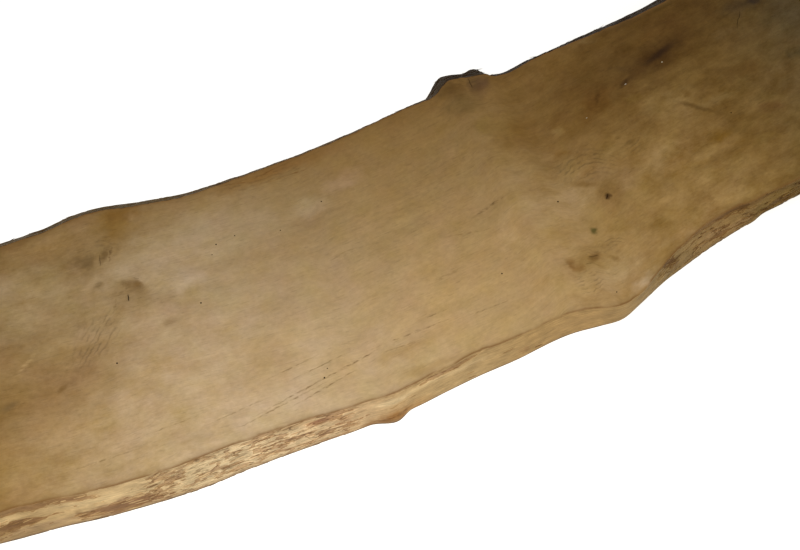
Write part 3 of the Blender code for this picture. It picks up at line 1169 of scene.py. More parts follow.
@dataclass(frozen=True)
class Blotting:
    """Lays patches over a ground colour. Noise makes their borders ragged and breaks up the thinnest ones."""

    patches: tuple[Patch, ...]
    broad_from: float = 8.0
    thin_below: float = 4.0
    # The size of the noise that moves a border, and its reach along and across.
    coarse: tuple[float, float, float] = (24.0, 44.0, 26.0)
    fine: tuple[float, float, float] = (7.0, 9.0, 3.0)
    gap_size: tuple[float, float] = (9.0, 3.0)
    gap_levels: tuple[float, float] = (0.38, 0.62)
    spread: float = 1.2
    # The renderer holds only so many values at once. So patches are laid in batches, and the places for a
    # batch wait for the colour before it, of which they take a share too small to see.
    batch: int = 18
    wait: float = 1e-5

    def lay(self, tree: Tree, place: Socket, colour: Socket) -> Socket:
        """Lays every patch in turn.

        Args:
            tree: The material's nodes.
            place: Where each point lies on the surface.
            colour: The ground.

        Returns:
            The colour with all patches on it.
        """
        broken = drawn_noise(tree, place, self.gap_size, Detail=2.0)
        low, high = self.gap_levels
        broken = add(tree, RANGE, {"Value": broken, "From Min": low, "From Max": high})
        sources = []
        for size, along, across in (self.fine, self.coarse):
            noise = {"Vector": place, "Scale": 1.0 / size, "Detail": 3.0}
            noise = add(tree, NOISE, noise, "Color")
            noise = add(tree, VECTOR, {0: noise, 1: (0.5,) * 3}, operation="SUBTRACT")
            moved = {0: noise, 1: (along, across, 0.0), 2: place}
            sources.append(add(tree, VECTOR, moved, operation="MULTIPLY_ADD"))
        waiting = sources
        for number, patch in enumerate(self.patches):
            if number % self.batch == 0:
                after = {0: colour, 1: (self.wait,) * 3}
                waiting = [
                    add(tree, VECTOR, {**after, 2: source}, operation="MULTIPLY_ADD")
                    for source in sources
                ]
            source = waiting[min(patch.half) >= self.broad_from]
            away = add(tree, VECTOR, {0: seen_from(tree, source, patch, patch.half)}, operation="LENGTH")
            amount = fade(tree, away, self.spread, patch.core, patch.strength)
            if min(patch.half) < self.thin_below and max(patch.half) > 3 * min(patch.half):
                amount = add(tree, MATH, {0: amount, 1: broken}, operation="MULTIPLY")
            laid = {0: amount, 6: colour, 7: linear(patch.colour)}
            colour = add(tree, MIX, laid, data_type="RGBA")
        return colour


@dataclass(frozen=True)
class OakFigure:
    """How the year rings lie: arcs round a heart below the board, bent by its branches."""

    heart_below: float = 133.0
    ring: float = 5.2
    wobble: float = 22.0
    wobble_size: tuple[float, float, float] = (300.0, 90.0, 90.0)

    def nodes(self, tree: Tree) -> tuple[Socket, ...]:
        """Adds the figure to a material.

        Args:
            tree: The material's nodes.

        Returns:
            The grain coordinates, the ring count at each point, and how far a branch bends the grain there.
        """
        grain = add(tree, LAYER, out="Vector", attribute_name=Mark.GRAIN.value)
        place = add(tree, LAYER, out="Vector", attribute_name=Mark.PLAN.value)
        above = add(tree, VECTOR, {0: grain, 1: (0, 0, self.heart_below)}, operation="ADD")
        flat = add(tree, VECTOR, {0: above, 1: (0, 1, 1)}, operation="MULTIPLY")
        radius = add(tree, VECTOR, {0: flat}, operation="LENGTH")
        wave = drawn_noise(tree, grain, self.wobble_size, Detail=3.0)
        radius = add(tree, MATH, {0: wave, 1: self.wobble, 2: radius}, operation="MULTIPLY_ADD")
        bend = None
        for swirl in self._swirls():
            local = seen_from(tree, place, swirl, swirl.half)
            square = add(tree, VECTOR, {0: local, 1: local}, operation="DOT_PRODUCT")
            hill = add(tree, MATH, {0: math.exp(-1.0), 1: square}, operation="POWER")
            lifted = {0: hill, 1: swirl.lift, 2: radius}
            radius = add(tree, MATH, lifted, operation="MULTIPLY_ADD")
            bend = add(tree, MATH, {0: bend, 1: hill}, operation="MAXIMUM") if bend else hill
        rings = add(tree, MATH, {0: radius, 1: self.ring}, operation="DIVIDE")
        return grain, rings, bend

    @staticmethod
    def _swirls() -> list[Swirl]:
        """All bends of the grain: the swirls, and one round each knot."""
        round_knots = [Swirl(k.place, (k.reach, k.reach * 0.7), k.turn, k.lift) for k in KNOTS]
        return [*SWIRLS, *round_knots]


class Finish(ABC):
    """What the finishes share. Dry wood has an IOR near 1.5, but its cut fibres scatter the light.

    So it isn't metallic, its roughness is high, and its reflection is weaker than that of a closed surface.
    """

    name: str
    roughness: float
    specular: float = 0.12
    bump: tuple[float, float] = (0.5, 0.4)  # strength, and depth of the fine relief in millimetres

    @abstractmethod
    def dress(self, tree: Tree) -> tuple[Socket, Socket | None]:
        """Adds the finish's own nodes, and returns its colour and its fine relief."""

    def material(self) -> bpy.types.Material:
        """Makes the material.

        Returns:
            The material, with its colour, relief and sheen.
        """
        material = bpy.data.materials.new(self.name)
        material.use_nodes = True
        tree = material.node_tree
        shader = tree.nodes["Principled BSDF"]
        colour, relief = self.dress(tree)
        tree.links.new(colour, shader.inputs["Base Color"])
        shader.inputs["Roughness"].default_value = self.roughness
        shader.inputs["Specular IOR Level"].default_value = self.specular
        if relief:
            strength, depth = self.bump
            bump = {"Strength": strength, "Distance": depth * MM, "Height": relief}
            tree.links.new(add(tree, "ShaderNodeBump", bump), shader.inputs["Normal"])
        return material


@dataclass(frozen=True)
class SawnOak(Finish):
    """Oak off the band saw, dried and left unfinished: matt, finely fibrous, with stains in its heartwood."""

    name: str
    patches: tuple[Patch, ...]
    knots: tuple[Knot, ...]
    waves: tuple[Waves, ...]
    figure: OakFigure = OakFigure()
    roughness: float = 0.66
    ring_wander: float = 0.9  # how far the fibres make a year ring's line wander, as a share of the ring
    ring_show: tuple[float, float] = (0.09, 0.03)  # how much rings darken the wood at a branch, and all over
    pore_depth: float = 0.13
    pore_relief: float = -4.0
    wave_wander: tuple[float, float] = (11.0, 9.0)  # size of the noise that bends fine lines, and its reach
    wave_core: float = 0.3  # share of a zone of fine lines where they have their full strength
    cloud_size: tuple[float, float, float] = (42.0, 25.0, 25.0)
    cloud_brown: tuple[float, float, float] = (1.0, 1.25, 2.0)
    cloud_hues: tuple[float, float, float] = (0.08, 0.08, 0.36)
    # The brown lines along the arris: how far they reach over the face, their strength and their tone.
    rims: tuple[tuple[float, float, str], ...] = ((10.0, 0.40, "#7E6036"), (3.6, 0.80, "#7C562B"))
    # Painted shade: the near-black that darkens the inside of checks and insect holes, the deeper the darker.
    pit: str = "#22150A"

    def dress(self, tree: Tree) -> tuple[Socket, Socket | None]:
        """Adds the finish's own nodes.

        Args:
            tree: The material's nodes.

        Returns:
            The colour, and the height of the fine relief.
        """
        grain, rings, bend = self.figure.nodes(tree)
        place = add(tree, LAYER, out="Vector", attribute_name=Mark.PLAN.value)
        hearts = [Patch(k.name, k.place, k.half, k.turn, k.core, k.strength, 0.25) for k in self.knots]
        colour = Blotting((*self.patches, *hearts)).lay(tree, place, self._ground(tree, grain))
        shade, relief = self._grain_lines(tree, grain, rings, bend)
        colour = add(tree, VECTOR, {0: colour, "Scale": shade}, operation="SCALE")
        colour = self._waves(tree, place, colour)
        colour = self._clouds(tree, grain, colour)
        colour = self._borders(tree, grain, colour)
        return colour, relief

    def _ground(self, tree: Tree, grain: Socket) -> Socket:
        """The wood's tone: pale sapwood at the near edge, darker to the far edge and right, partly as
        heartwood and partly as painted shade of a light that falls off that way.

        Args:
            tree: The material's nodes.
            grain: The grain coordinates.

        Returns:
            The colour of the bare wood.
        """
        tone = blend(tree, add(tree, SPLIT, {0: grain}, "X"), FACE_ALONG_HEARTWOOD_AND_PAINTED_SHADE)
        shade = blend(tree, add(tree, SPLIT, {0: grain}, "Y"), FACE_ACROSS_HEARTWOOD_AND_PAINTED_SHADE)
        return add(tree, VECTOR, {0: tone, 1: shade}, operation="MULTIPLY")

    def _grain_lines(self, tree: Tree, grain: Socket, rings: Socket, bend: Socket) -> tuple[Socket, Socket]:
        """Year rings, pores, fibres and mottling.

        Args:
            tree: The material's nodes.
            grain: The grain coordinates.
            rings: The ring count at each point.
            bend: How far a branch bends the grain there.

        Returns:
            A factor on the colour, and a height for the relief.
        """
        # Pores are about 0.3 mm wide, too fine for the render, so fibres are drawn 1.6 mm and more apart.
        sizes = {
            "fibres": (17, 1.7, 1.7), "flames": (52, 13, 13), "dashes": (18, 2.0, 2.0),
            "mottles": (6, 4.6, 4.6), "blotches": (80, 38, 38),
        }  # fmt: skip
        depths = {"fibres": 0.21, "flames": 0.20, "mottles": 0.30}
        found = {name: drawn_noise(tree, grain, size, Detail=3.0) for name, size in sizes.items()}
        turn = {0: found["fibres"], 1: self.ring_wander, 2: rings}
        turn = add(tree, MATH, turn, operation="MULTIPLY_ADD")
        turn = add(tree, MATH, {0: turn}, operation="FRACT")
        early = blend(tree, turn, {0.0: FULL, 0.42: CLEAR, 0.92: "#606060", 1.0: FULL})
        patchy = {"Value": found["blotches"], "From Min": 0.40, "From Max": 0.60}
        patchy = add(tree, RANGE, patchy)
        visible = {0: bend, 1: self.ring_show[0], 2: self.ring_show[1]}
        visible = add(tree, MATH, visible, operation="MULTIPLY_ADD")
        visible = add(tree, MATH, {0: visible, 1: patchy}, operation="MULTIPLY")
        lines = add(tree, MATH, {0: early, 1: visible}, operation="MULTIPLY")
        shade = add(tree, MATH, {0: 1.02, 1: lines}, operation="SUBTRACT")
        for name, depth in depths.items():
            centred = add(tree, MATH, {0: found[name], 1: 0.5}, operation="SUBTRACT")
            shade = add(tree, MATH, {0: centred, 1: depth, 2: shade}, operation="MULTIPLY_ADD")
        pores = {"Value": found["dashes"], "From Min": 0.60, "From Max": 0.70, "To Max": self.pore_depth}
        pores = add(tree, RANGE, pores)
        shade = add(tree, MATH, {0: shade, 1: pores}, operation="SUBTRACT")
        relief = {0: pores, 1: self.pore_relief, 2: found["fibres"]}
        return shade, add(tree, MATH, relief, operation="MULTIPLY_ADD")

    def _waves(self, tree: Tree, place: Socket, colour: Socket) -> Socket:
        """The fine dark lines round the branches, wavy and broken.

        Args:
            tree: The material's nodes.
            place: Where each point lies on the face.
            colour: The colour so far.

        Returns:
            The colour with the lines.
        """
        length, reach = self.wave_wander
        noise = add(tree, NOISE, {"Vector": place, "Scale": 1 / length, "Detail": 2.0}, "Color")
        shift = add(tree, VECTOR, {0: noise, 1: (0.5,) * 3}, operation="SUBTRACT")
        moved = {0: shift, 1: (reach, reach, 0), 2: place}
        moved = add(tree, VECTOR, moved, operation="MULTIPLY_ADD")
        broken = add(tree, SPLIT, {0: noise}, "Z")
        broken = add(tree, RANGE, {"Value": broken, "From Min": 0.38, "From Max": 0.54})
        for waves in self.waves:
            local = seen_from(tree, moved, waves, (1.0, 1.0))
            u, v = (add(tree, SPLIT, {0: local}, axis) for axis in "XY")
            sag = add(tree, MATH, {0: u, 1: u}, operation="MULTIPLY")
            row = add(tree, MATH, {0: sag, 1: waves.bow, 2: v}, operation="MULTIPLY_ADD")
            row = add(tree, MATH, {0: row, 1: waves.spacing}, operation="DIVIDE")
            row = add(tree, MATH, {0: row}, operation="FRACT")
            line = blend(tree, row, {0.0: FULL, 0.35: CLEAR, 0.75: CLEAR, 1.0: FULL})
            size = (1 / waves.half[0], 1 / waves.half[1], 0.0)
            away = add(tree, VECTOR, {0: local, 1: size}, operation="MULTIPLY")
            away = add(tree, VECTOR, {0: away}, operation="LENGTH")
            strength = fade(tree, away, 1.0, self.wave_core, waves.strength)
            line = add(tree, MATH, {0: line, 1: broken}, operation="MULTIPLY")
            line = add(tree, MATH, {0: line, 1: strength}, operation="MULTIPLY")
            shade = add(tree, MATH, {0: 1.0, 1: line}, operation="SUBTRACT")
            colour = add(tree, VECTOR, {0: colour, "Scale": shade}, operation="SCALE")
        return colour

    def _clouds(self, tree: Tree, grain: Socket, colour: Socket) -> Socket:
        """Clouds of heartwood colour, browner where they are darker, and a little pink and olive.

        They are faint in the middle of the board, and stronger towards the branches on both sides.

        Args:
            tree: The material's nodes.
            grain: The grain coordinates.
            colour: The colour so far.

        Returns:
            The colour with the clouds.
        """
        along = add(tree, SPLIT, {0: grain}, "X")
        right = {"Value": along, "From Min": 120, "From Max": 420, "To Max": 1.0}
        right = add(tree, RANGE, right)
        left = {"Value": along, "From Min": -140, "From Max": -400, "To Min": 0.35, "To Max": 0.85}
        left = add(tree, RANGE, left)
        depth = add(tree, MATH, {0: right, 1: left}, operation="ADD")
        grey = drawn_noise(tree, grain, self.cloud_size, Detail=6.0, Roughness=0.7)
        grey = add(tree, MATH, {0: grey, 1: 0.5}, operation="SUBTRACT")
        grey = add(tree, MATH, {0: grey, 1: depth}, operation="MULTIPLY")
        grey = add(tree, VECTOR, {0: self.cloud_brown, "Scale": grey}, operation="SCALE")
        hues = add(tree, NOISE, {"Vector": grain, "Scale": 0.028, "Detail": 4.0}, "Color")
        hues = add(tree, VECTOR, {0: hues, 1: (0.5,) * 3}, operation="SUBTRACT")
        tint = add(tree, VECTOR, {0: grey, 1: (1.0, 1.0, 1.0)}, operation="ADD")
        tint = {0: hues, 1: self.cloud_hues, 2: tint}
        tint = add(tree, VECTOR, tint, operation="MULTIPLY_ADD")
        return add(tree, VECTOR, {0: colour, 1: tint}, operation="MULTIPLY")

    def _borders(self, tree: Tree, grain: Socket, colour: Socket) -> Socket:
        """The brown line along the arris, and painted shade that darkens the inside of checks and holes.

        Args:
            tree: The material's nodes.
            grain: The grain coordinates.
            colour: The colour so far.

        Returns:
            The colour with both.
        """
        border = add(tree, LAYER, out="Fac", attribute_name=Mark.BORDER.value)
        patchy = add(tree, NOISE, {"Vector": grain, "Scale": 0.03, "Detail": 3.0})
        patchy = add(tree, RANGE, {"Value": patchy, "From Min": 0.22, "From Max": 0.58})
        for reach, strength, tone in self.rims:
            amount = {0: fade(tree, border, reach, 0.0, strength), 1: patchy}
            amount = add(tree, MATH, amount, operation="MULTIPLY")
            colour = add(tree, MIX, {0: amount, 6: colour, 7: linear(tone)}, data_type="RGBA")
        # Painted shade inside checks and holes, as deep as the pit mark says.
        pit = add(tree, LAYER, out="Fac", attribute_name=Mark.PIT.value)
        return add(tree, MIX, {0: pit, 6: colour, 7: linear(self.pit)}, data_type="RGBA")


@dataclass(frozen=True)
class BarkedOak(Finish):
    """The log's surface after barking: smooth pale sapwood, torn lips and brown bast, dry and matt."""

    name: str
    tones: dict[float, str]
    # The tints carry a painted highlight on torn lips, painted shade in the line under each lip, and painted
    # shade deep in the hollows.
    torn: dict[float, str]  # tint at each amount of bast
    rim: str
    foot: str
    patches: tuple[Patch, ...]
    seams: dict[float, str]  # how strongly the winding lines show at each station, from black to white
    # The winding lines' brown is partly bast between strips of fibre and partly painted shadow under a torn
    # lip, and each lip gets a painted highlight.
    seam_and_painted_shadow: str = "#8A7660"
    seam_painted_highlight: float = 0.16
    # Length and width of a wave, the line's reach in the wave's level, and its strength.
    seam_sizes: tuple[tuple[float, ...], ...] = ((40.0, 4.6, 0.040, 0.62), (17.0, 2.6, 0.028, 0.30))
    fibre_size: tuple[float, float] = (22.0, 1.4)
    cloud_size: tuple[float, float] = (30.0, 11.0)
    fibre_shade: tuple[float, float] = (0.60, 1.40)
    cloud_shade: tuple[float, float] = (0.45, 1.55)
    fray: float = 0.24  # how far the fibres fray the borders of the bast
    # Where the line under the arris, the darker band along the foot and the painted contact shadow where the
    # edge meets the floor begin and are full, and how strong each is. The first two are measured down the
    # slope, and the last one up from the underside.
    rim_band: tuple[float, float, float] = (5.5, 1.5, 0.50)
    foot_band: tuple[float, float, float] = (37.0, 45.0, 0.6)
    contact_shadow_band: tuple[float, float, float] = (2.2, 0.3, 0.75)
    # Painted contact shadow: the dark tone along the bottom of each natural edge, where it meets the floor.
    contact_shadow: str = "#4E4232"
    roughness: float = 0.7
    bump: tuple[float, float] = (0.7, 0.6)

    def dress(self, tree: Tree) -> tuple[Socket, Socket | None]:
        """Adds the finish's own nodes.

        Args:
            tree: The material's nodes.

        Returns:
            The colour, and the height of the fine relief.
        """
        grain = add(tree, LAYER, out="Vector", attribute_name=Mark.GRAIN.value)
        down = add(tree, LAYER, out="Fac", attribute_name=Mark.BORDER.value)
        along = add(tree, SPLIT, {0: grain}, "X")
        place = add(tree, "ShaderNodeCombineXYZ", {0: along, 1: down})
        fibres = drawn_noise(tree, place, self.fibre_size, Detail=4.0)
        colour = Blotting(self.patches).lay(tree, place, blend(tree, along, self.tones))
        bast = add(tree, LAYER, out="Fac", attribute_name=Mark.BAST.value)
        bast = add(tree, MATH, {0: fibres, 1: self.fray, 2: bast}, operation="MULTIPLY_ADD")
        bast = add(tree, MATH, {0: bast, 1: 0.5 * self.fray}, operation="SUBTRACT")
        tint = blend(tree, bast, self.torn)
        colour = add(tree, VECTOR, {0: colour, 1: tint}, operation="MULTIPLY")
        colour = self._seams(tree, place, colour)
        colour = self._rims(tree, down, fibres, colour)
        low, high = self.fibre_shade
        shade = add(tree, RANGE, {"Value": fibres, "To Min": low, "To Max": high})
        clouds = drawn_noise(tree, place, self.cloud_size, Detail=5.0, Roughness=0.65)
        low, high = self.cloud_shade
        clouds = add(tree, RANGE, {"Value": clouds, "To Min": low, "To Max": high})
        shade = add(tree, MATH, {0: shade, 1: clouds}, operation="MULTIPLY")
        colour = add(tree, VECTOR, {0: colour, "Scale": shade}, operation="SCALE")
        return colour, fibres

    def _seams(self, tree: Tree, place: Socket, colour: Socket) -> Socket:
        """Thin brown lines that wind along the edge between strips of fibre, partly painted shadow under a
        torn lip, each with a painted highlight on that lip.

        Args:
            tree: The material's nodes.
            place: Where each point lies on the edge.
            colour: The colour so far.

        Returns:
            The colour with the lines.
        """
        along = add(tree, SPLIT, {0: place}, "X")
        amount = blend(tree, along, self.seams)
        for length, width, reach, strength in self.seam_sizes:
            level = drawn_noise(tree, place, (length, width), Detail=2.0, Distortion=0.5)
            line = self._line(tree, level, 0.5, reach, strength, amount)
            tint = {0: line, 6: linear(FULL), 7: linear(self.seam_and_painted_shadow)}
            tint = add(tree, MIX, tint, data_type="RGBA")
            colour = add(tree, VECTOR, {0: colour, 1: tint}, operation="MULTIPLY")
            # A painted highlight along each line's torn lip.
            lip = self._line(tree, level, 0.5 + 1.5 * reach, reach, self.seam_painted_highlight, amount)
            lip = add(tree, MATH, {0: lip, 1: 1.0}, operation="ADD")
            colour = add(tree, VECTOR, {0: colour, "Scale": lip}, operation="SCALE")
        return colour

    @staticmethod
    def _line(
        tree: Tree,
        level: Socket,
        centre: float,
        reach: float,
        strength: float,
        amount: Socket,
    ) -> Socket:
        """A soft line where a level passes a value.

        Args:
            tree: The material's nodes.
            level: The level at each point.
            centre: The value at the line's middle.
            reach: How far from that value the line ends.
            strength: How strong the line is at its middle.
            amount: How much of that strength it has at each point.

        Returns:
            The line's strength at each point.
        """
        away = add(tree, MATH, {0: level, 1: centre}, operation="SUBTRACT")
        away = add(tree, MATH, {0: away}, operation="ABSOLUTE")
        line = fade(tree, away, reach, 0.0, strength)
        return add(tree, MATH, {0: line, 1: amount}, operation="MULTIPLY")

    def _rims(self, tree: Tree, down: Socket, fibres: Socket, colour: Socket) -> Socket:
        """The brown line under the arris, the darker band along the foot, and a painted contact shadow where
        the edge meets the floor.

        Args:
            tree: The material's nodes.
            down: How far down the slope each point lies.
            fibres: The fibres' noise, which makes both lines ragged.
            colour: The colour so far.

        Returns:
            The colour with all three.
        """
        ragged = add(tree, MATH, {0: fibres, 1: 5.0, 2: down}, operation="MULTIPLY_ADD")
        height = add(tree, LAYER, out="Vector", attribute_name=Mark.GRAIN.value)
        height = add(tree, SPLIT, {0: height}, "Z")
        for value, band, tone in (
            (ragged, self.rim_band, self.rim),
            (ragged, self.foot_band, self.foot),
            (height, self.contact_shadow_band, self.contact_shadow),
        ):
            amount = fade(tree, value, *band)
            colour = add(tree, MIX, {0: amount, 6: colour, 7: linear(tone)}, data_type="RGBA")
        return colour


@dataclass(frozen=True)
class TornBast(Finish):
    """Loose fibres of bast and sapwood: dry and matt, from pale straw to brown, each of one tone."""

    name: str
    tones: dict[float, str]
    shades: dict[float, str]
    roughness: float = 0.75

    def dress(self, tree: Tree) -> tuple[Socket, Socket | None]:
        """Adds the finish's own nodes.

        Args:
            tree: The material's nodes.

        Returns:
            The colour, and no relief, as each fibre is a shape of its own.
        """
        place = add(tree, "ShaderNodeTexCoord", out="Object")
        along = add(tree, SPLIT, {0: place}, "X")
        along = add(tree, MATH, {0: along, 1: 1 / MM}, operation="MULTIPLY")
        tone = add(tree, LAYER, out="Fac", attribute_name=Mark.TONE.value)
        colour = {0: blend(tree, along, self.tones), 1: blend(tree, tone, self.shades)}
        return add(tree, VECTOR, colour, operation="MULTIPLY"), None


@dataclass(frozen=True)
class TornFibres:
    """Fibres that the barking spade tore loose, scattered over the bast of one edge and lying along it."""

    name: str
    cut: Cut
    seed: int
    per_square_metre: float
    smallest: tuple[float, float, float] = (4.0, 0.32, 0.18)
    largest: tuple[float, float, float] = (14.0, 0.95, 0.42)
    most_turn: float = 7.0
    most_lift: float = 3.0
    bast_from: float = 0.38
    bast_full: float = 0.46
    lowest: float = 3.2
    highest: float = 30.8
    side_spare: float = 1.8
    end_spare: float = 18.0

    def build(self, board: bpy.types.Object, finish: bpy.types.Material) -> bpy.types.Object:
        """Scatters the fibres and turns them into one plain mesh.

        Args:
            board: The skin of the board, with its marks.
            finish: The fibres' material.

        Returns:
            The fibres.
        """
        holder = bpy.data.objects.new(f"{self.name}_holder", self._surface(board))
        bpy.context.scene.collection.objects.link(holder)
        modifier = holder.modifiers.new("scatter", "NODES")
        tree = self._tree()
        values = {
            "Fibres per square metre": self.per_square_metre,
            "Seed": self.seed,
            "Smallest half size": self.smallest,
            "Largest half size": self.largest,
            "Most turn": math.radians(self.most_turn),
            "Most lift": math.radians(self.most_lift),
            "Farthest": max(abs(corner[0]) for corner in CAD_BOX) - self.end_spare * MM,
            "Widest": max(abs(corner[1]) for corner in CAD_BOX) - self.side_spare * MM,
            "Lowest": self.lowest * MM,
            "Highest": self.highest * MM,
            "Finish": finish,
        }
        modifier.node_group = tree
        for socket in tree.interface.items_tree:
            if socket.name in values:
                modifier[socket.identifier] = values[socket.name]
        depsgraph = bpy.context.evaluated_depsgraph_get()
        mesh = bpy.data.meshes.new_from_object(holder.evaluated_get(depsgraph))
        bpy.data.objects.remove(holder)
        fibres = bpy.data.objects.new(self.name, mesh)
        bpy.context.scene.collection.objects.link(fibres)
        return fibres

    def _surface(self, board: bpy.types.Object) -> bpy.types.Mesh:
        """Copies the part of the skin that the fibres lie on.

        Args:
            board: The skin of the board.

        Returns:
            The one natural edge, as a mesh.
        """
        work = bmesh.new()
        work.from_mesh(board.data)
        other = [face for face in work.faces if face.material_index != self.cut]
        bmesh.ops.delete(work, geom=other, context="FACES")
        mesh = bpy.data.meshes.new(f"{self.name}_surface")
        work.to_mesh(mesh)
        work.free()
        return mesh

    def _tree(self) -> Tree:
        """The Geometry Nodes that scatter the fibres.

        Returns:
            The tree, with a named input for each size.
        """
        tree = bpy.data.node_groups.new(self.name, "GeometryNodeTree")
        limits = ("Most turn", "Most lift", "Farthest", "Widest", "Lowest", "Highest")
        sockets = {
            "Geometry": ("Surface",),
            "Float": ("Fibres per square metre", *limits),
            "Int": ("Seed",),
            "Vector": ("Smallest half size", "Largest half size"),
            "Material": ("Finish",),
        }
        for kind, names in sockets.items():
            for name in names:
                tree.interface.new_socket(name, in_out="INPUT", socket_type=f"NodeSocket{kind}")
        tree.interface.new_socket("Fibres", in_out="OUTPUT", socket_type="NodeSocketGeometry")
        given = tree.nodes.new("NodeGroupInput").outputs
        bast = add(tree, "GeometryNodeInputNamedAttribute", {"Name": Mark.BAST.value}, "Attribute")
        ready = {"Value": bast, "From Min": self.bast_from, "From Max": self.bast_full}
        ready = add(tree, RANGE, ready)
        place = add(tree, "GeometryNodeInputPosition")
        place = add(tree, SPLIT, {0: place}).node.outputs
        along, across = (add(tree, MATH, {0: place[a]}, operation="ABSOLUTE") for a in "XY")
        limits = (
            (along, "LESS_THAN", "Farthest"),
            (across, "LESS_THAN", "Widest"),
            (place["Z"], "GREATER_THAN", "Lowest"),
            (place["Z"], "LESS_THAN", "Highest"),
        )
        for value, test, limit in limits:
            passed = add(tree, MATH, {0: value, 1: given[limit]}, operation=test)
            ready = add(tree, MATH, {0: ready, 1: passed}, operation="MULTIPLY")
        ready = {0: ready, 1: given["Fibres per square metre"]}
        ready = add(tree, MATH, ready, operation="MULTIPLY")
        spread = {"Mesh": given["Surface"], 4: ready, 6: given["Seed"]}
        points = add(tree, "GeometryNodeDistributePointsOnFaces", spread, "Points")
        turned = {"Rotation": points.node.outputs["Rotation"], "Vector": (1.0, 0.0, 0.0)}
        turned = add(tree, "FunctionNodeAlignRotationToVector", turned, axis="X", pivot_axis="Z")
        for axis, most, other in (((0.0, 0.0, 1.0), "Most turn", 1), ((0.0, 1.0, 0.0), "Most lift", 2)):
            least = add(tree, MATH, {0: given[most], 1: -1.0}, operation="MULTIPLY")
            angle = {2: least, 3: given[most], 8: other}
            angle = add(tree, "FunctionNodeRandomValue", angle, data_type="FLOAT")
            by = add(tree, "FunctionNodeAxisAngleToRotation", {"Axis": axis, "Angle": angle})
            turned = {"Rotation": turned, "Rotate By": by}
            turned = add(tree, "FunctionNodeRotateRotation", turned, rotation_space="LOCAL")
        tone = add(tree, "FunctionNodeRandomValue", {8: 3}, data_type="FLOAT")
        stored = {"Geometry": points, "Name": Mark.TONE.value, "Value": tone}
        points = add(tree, "GeometryNodeStoreNamedAttribute", stored, data_type="FLOAT", domain="POINT")
        size = {0: given["Smallest half size"], 1: given["Largest half size"], 8: 4}
        size = add(tree, "FunctionNodeRandomValue", size, data_type="FLOAT_VECTOR")
        fibre = add(tree, "GeometryNodeMeshUVSphere", {"Segments": 7, "Rings": 4, "Radius": MM}, "Mesh")
        placed = {"Points": points, "Instance": fibre, "Rotation": turned, "Scale": size}
        placed = add(tree, "GeometryNodeInstanceOnPoints", placed)
        placed = add(tree, "GeometryNodeRealizeInstances", {"Geometry": placed})
        placed = add(tree, "GeometryNodeSetMaterial", {"Geometry": placed, "Material": given["Finish"]})
        tree.links.new(placed, tree.nodes.new("NodeGroupOutput").inputs[0])
        return tree


@dataclass(frozen=True)
class EndGrainOak(Finish):
    """Crosscut oak: year rings as arcs, pale rays across them, and fuzz from the saw that takes the dirt."""

    name: str = "crosscut_oak"
    ground: str = "#A98757"
    early: str = "#6E5330"
    ray: str = "#C4A679"
    dirt: str = "#7D674A"
    # Painted shade: the near-black that darkens the inside of the end checks.
    check: str = "#2A1C0F"
    rays_round: float = 90.0  # waves of rays in a radian
    band: tuple[float, float] = (0.4, 0.75)  # share of a ring that is early wood, and how dark it is
    # The level at which rays and dirt begin, the level at which they are full, and their strength.
    ray_levels: tuple[float, float, float] = (0.56, 0.70, 0.55)
    dirt_levels: tuple[float, float, float] = (0.4, 0.7, 0.6)
    dirt_scale: float = 0.06  # patches in a millimetre, as for the fuzz
    fuzz_scale: float = 1.2
    # How strong that painted shade is at a check's far tip.
    check_depth: float = 0.8
    figure: OakFigure = OakFigure()
    roughness: float = 0.8
    specular: float = 0.5
    bump: tuple[float, float] = (0.6, 0.5)

    def dress(self, tree: Tree) -> tuple[Socket, Socket | None]:
        """Adds the finish's own nodes.

        Args:
            tree: The material's nodes.

        Returns:
            The colour, and the height of the fuzz.
        """
        grain, rings, _ = self.figure.nodes(tree)
        turn = add(tree, MATH, {0: rings}, operation="FRACT")
        band = {"Value": turn, "From Max": self.band[0], "To Min": self.band[1], "To Max": 0.0}
        band = add(tree, RANGE, band)
        across = add(tree, SPLIT, {0: grain}, "Y")
        above = add(tree, SPLIT, {0: grain}, "Z")
        above = add(tree, MATH, {0: above, 1: self.figure.heart_below}, operation="ADD")
        angle = add(tree, MATH, {0: across, 1: above}, operation="ARCTAN2")
        spoke = add(tree, MATH, {0: angle, 1: self.rays_round}, operation="MULTIPLY")
        rays = {"W": spoke, "Scale": 1.0, "Detail": 3.0}
        rays = add(tree, NOISE, rays, noise_dimensions="1D")
        dust = add(tree, NOISE, {"Vector": grain, "Scale": self.dirt_scale, "Detail": 4.0})
        rays, dust = (
            add(tree, RANGE, {"Value": value, "From Min": low, "From Max": high, "To Max": strength})
            for value, (low, high, strength) in ((rays, self.ray_levels), (dust, self.dirt_levels))
        )
        # Painted shade in the end checks, darker farther in.
        pit = add(tree, LAYER, out="Fac", attribute_name=Mark.PIT.value)
        pit = add(tree, MATH, {0: pit, 1: self.check_depth}, operation="MULTIPLY")
        colour = linear(self.ground)
        for amount, tone in ((band, self.early), (rays, self.ray), (dust, self.dirt), (pit, self.check)):
            colour = add(tree, MIX, {0: amount, 6: colour, 7: linear(tone)}, data_type="RGBA")
        return colour, add(tree, NOISE, {"Vector": grain, "Scale": self.fuzz_scale, "Detail": 3.0})


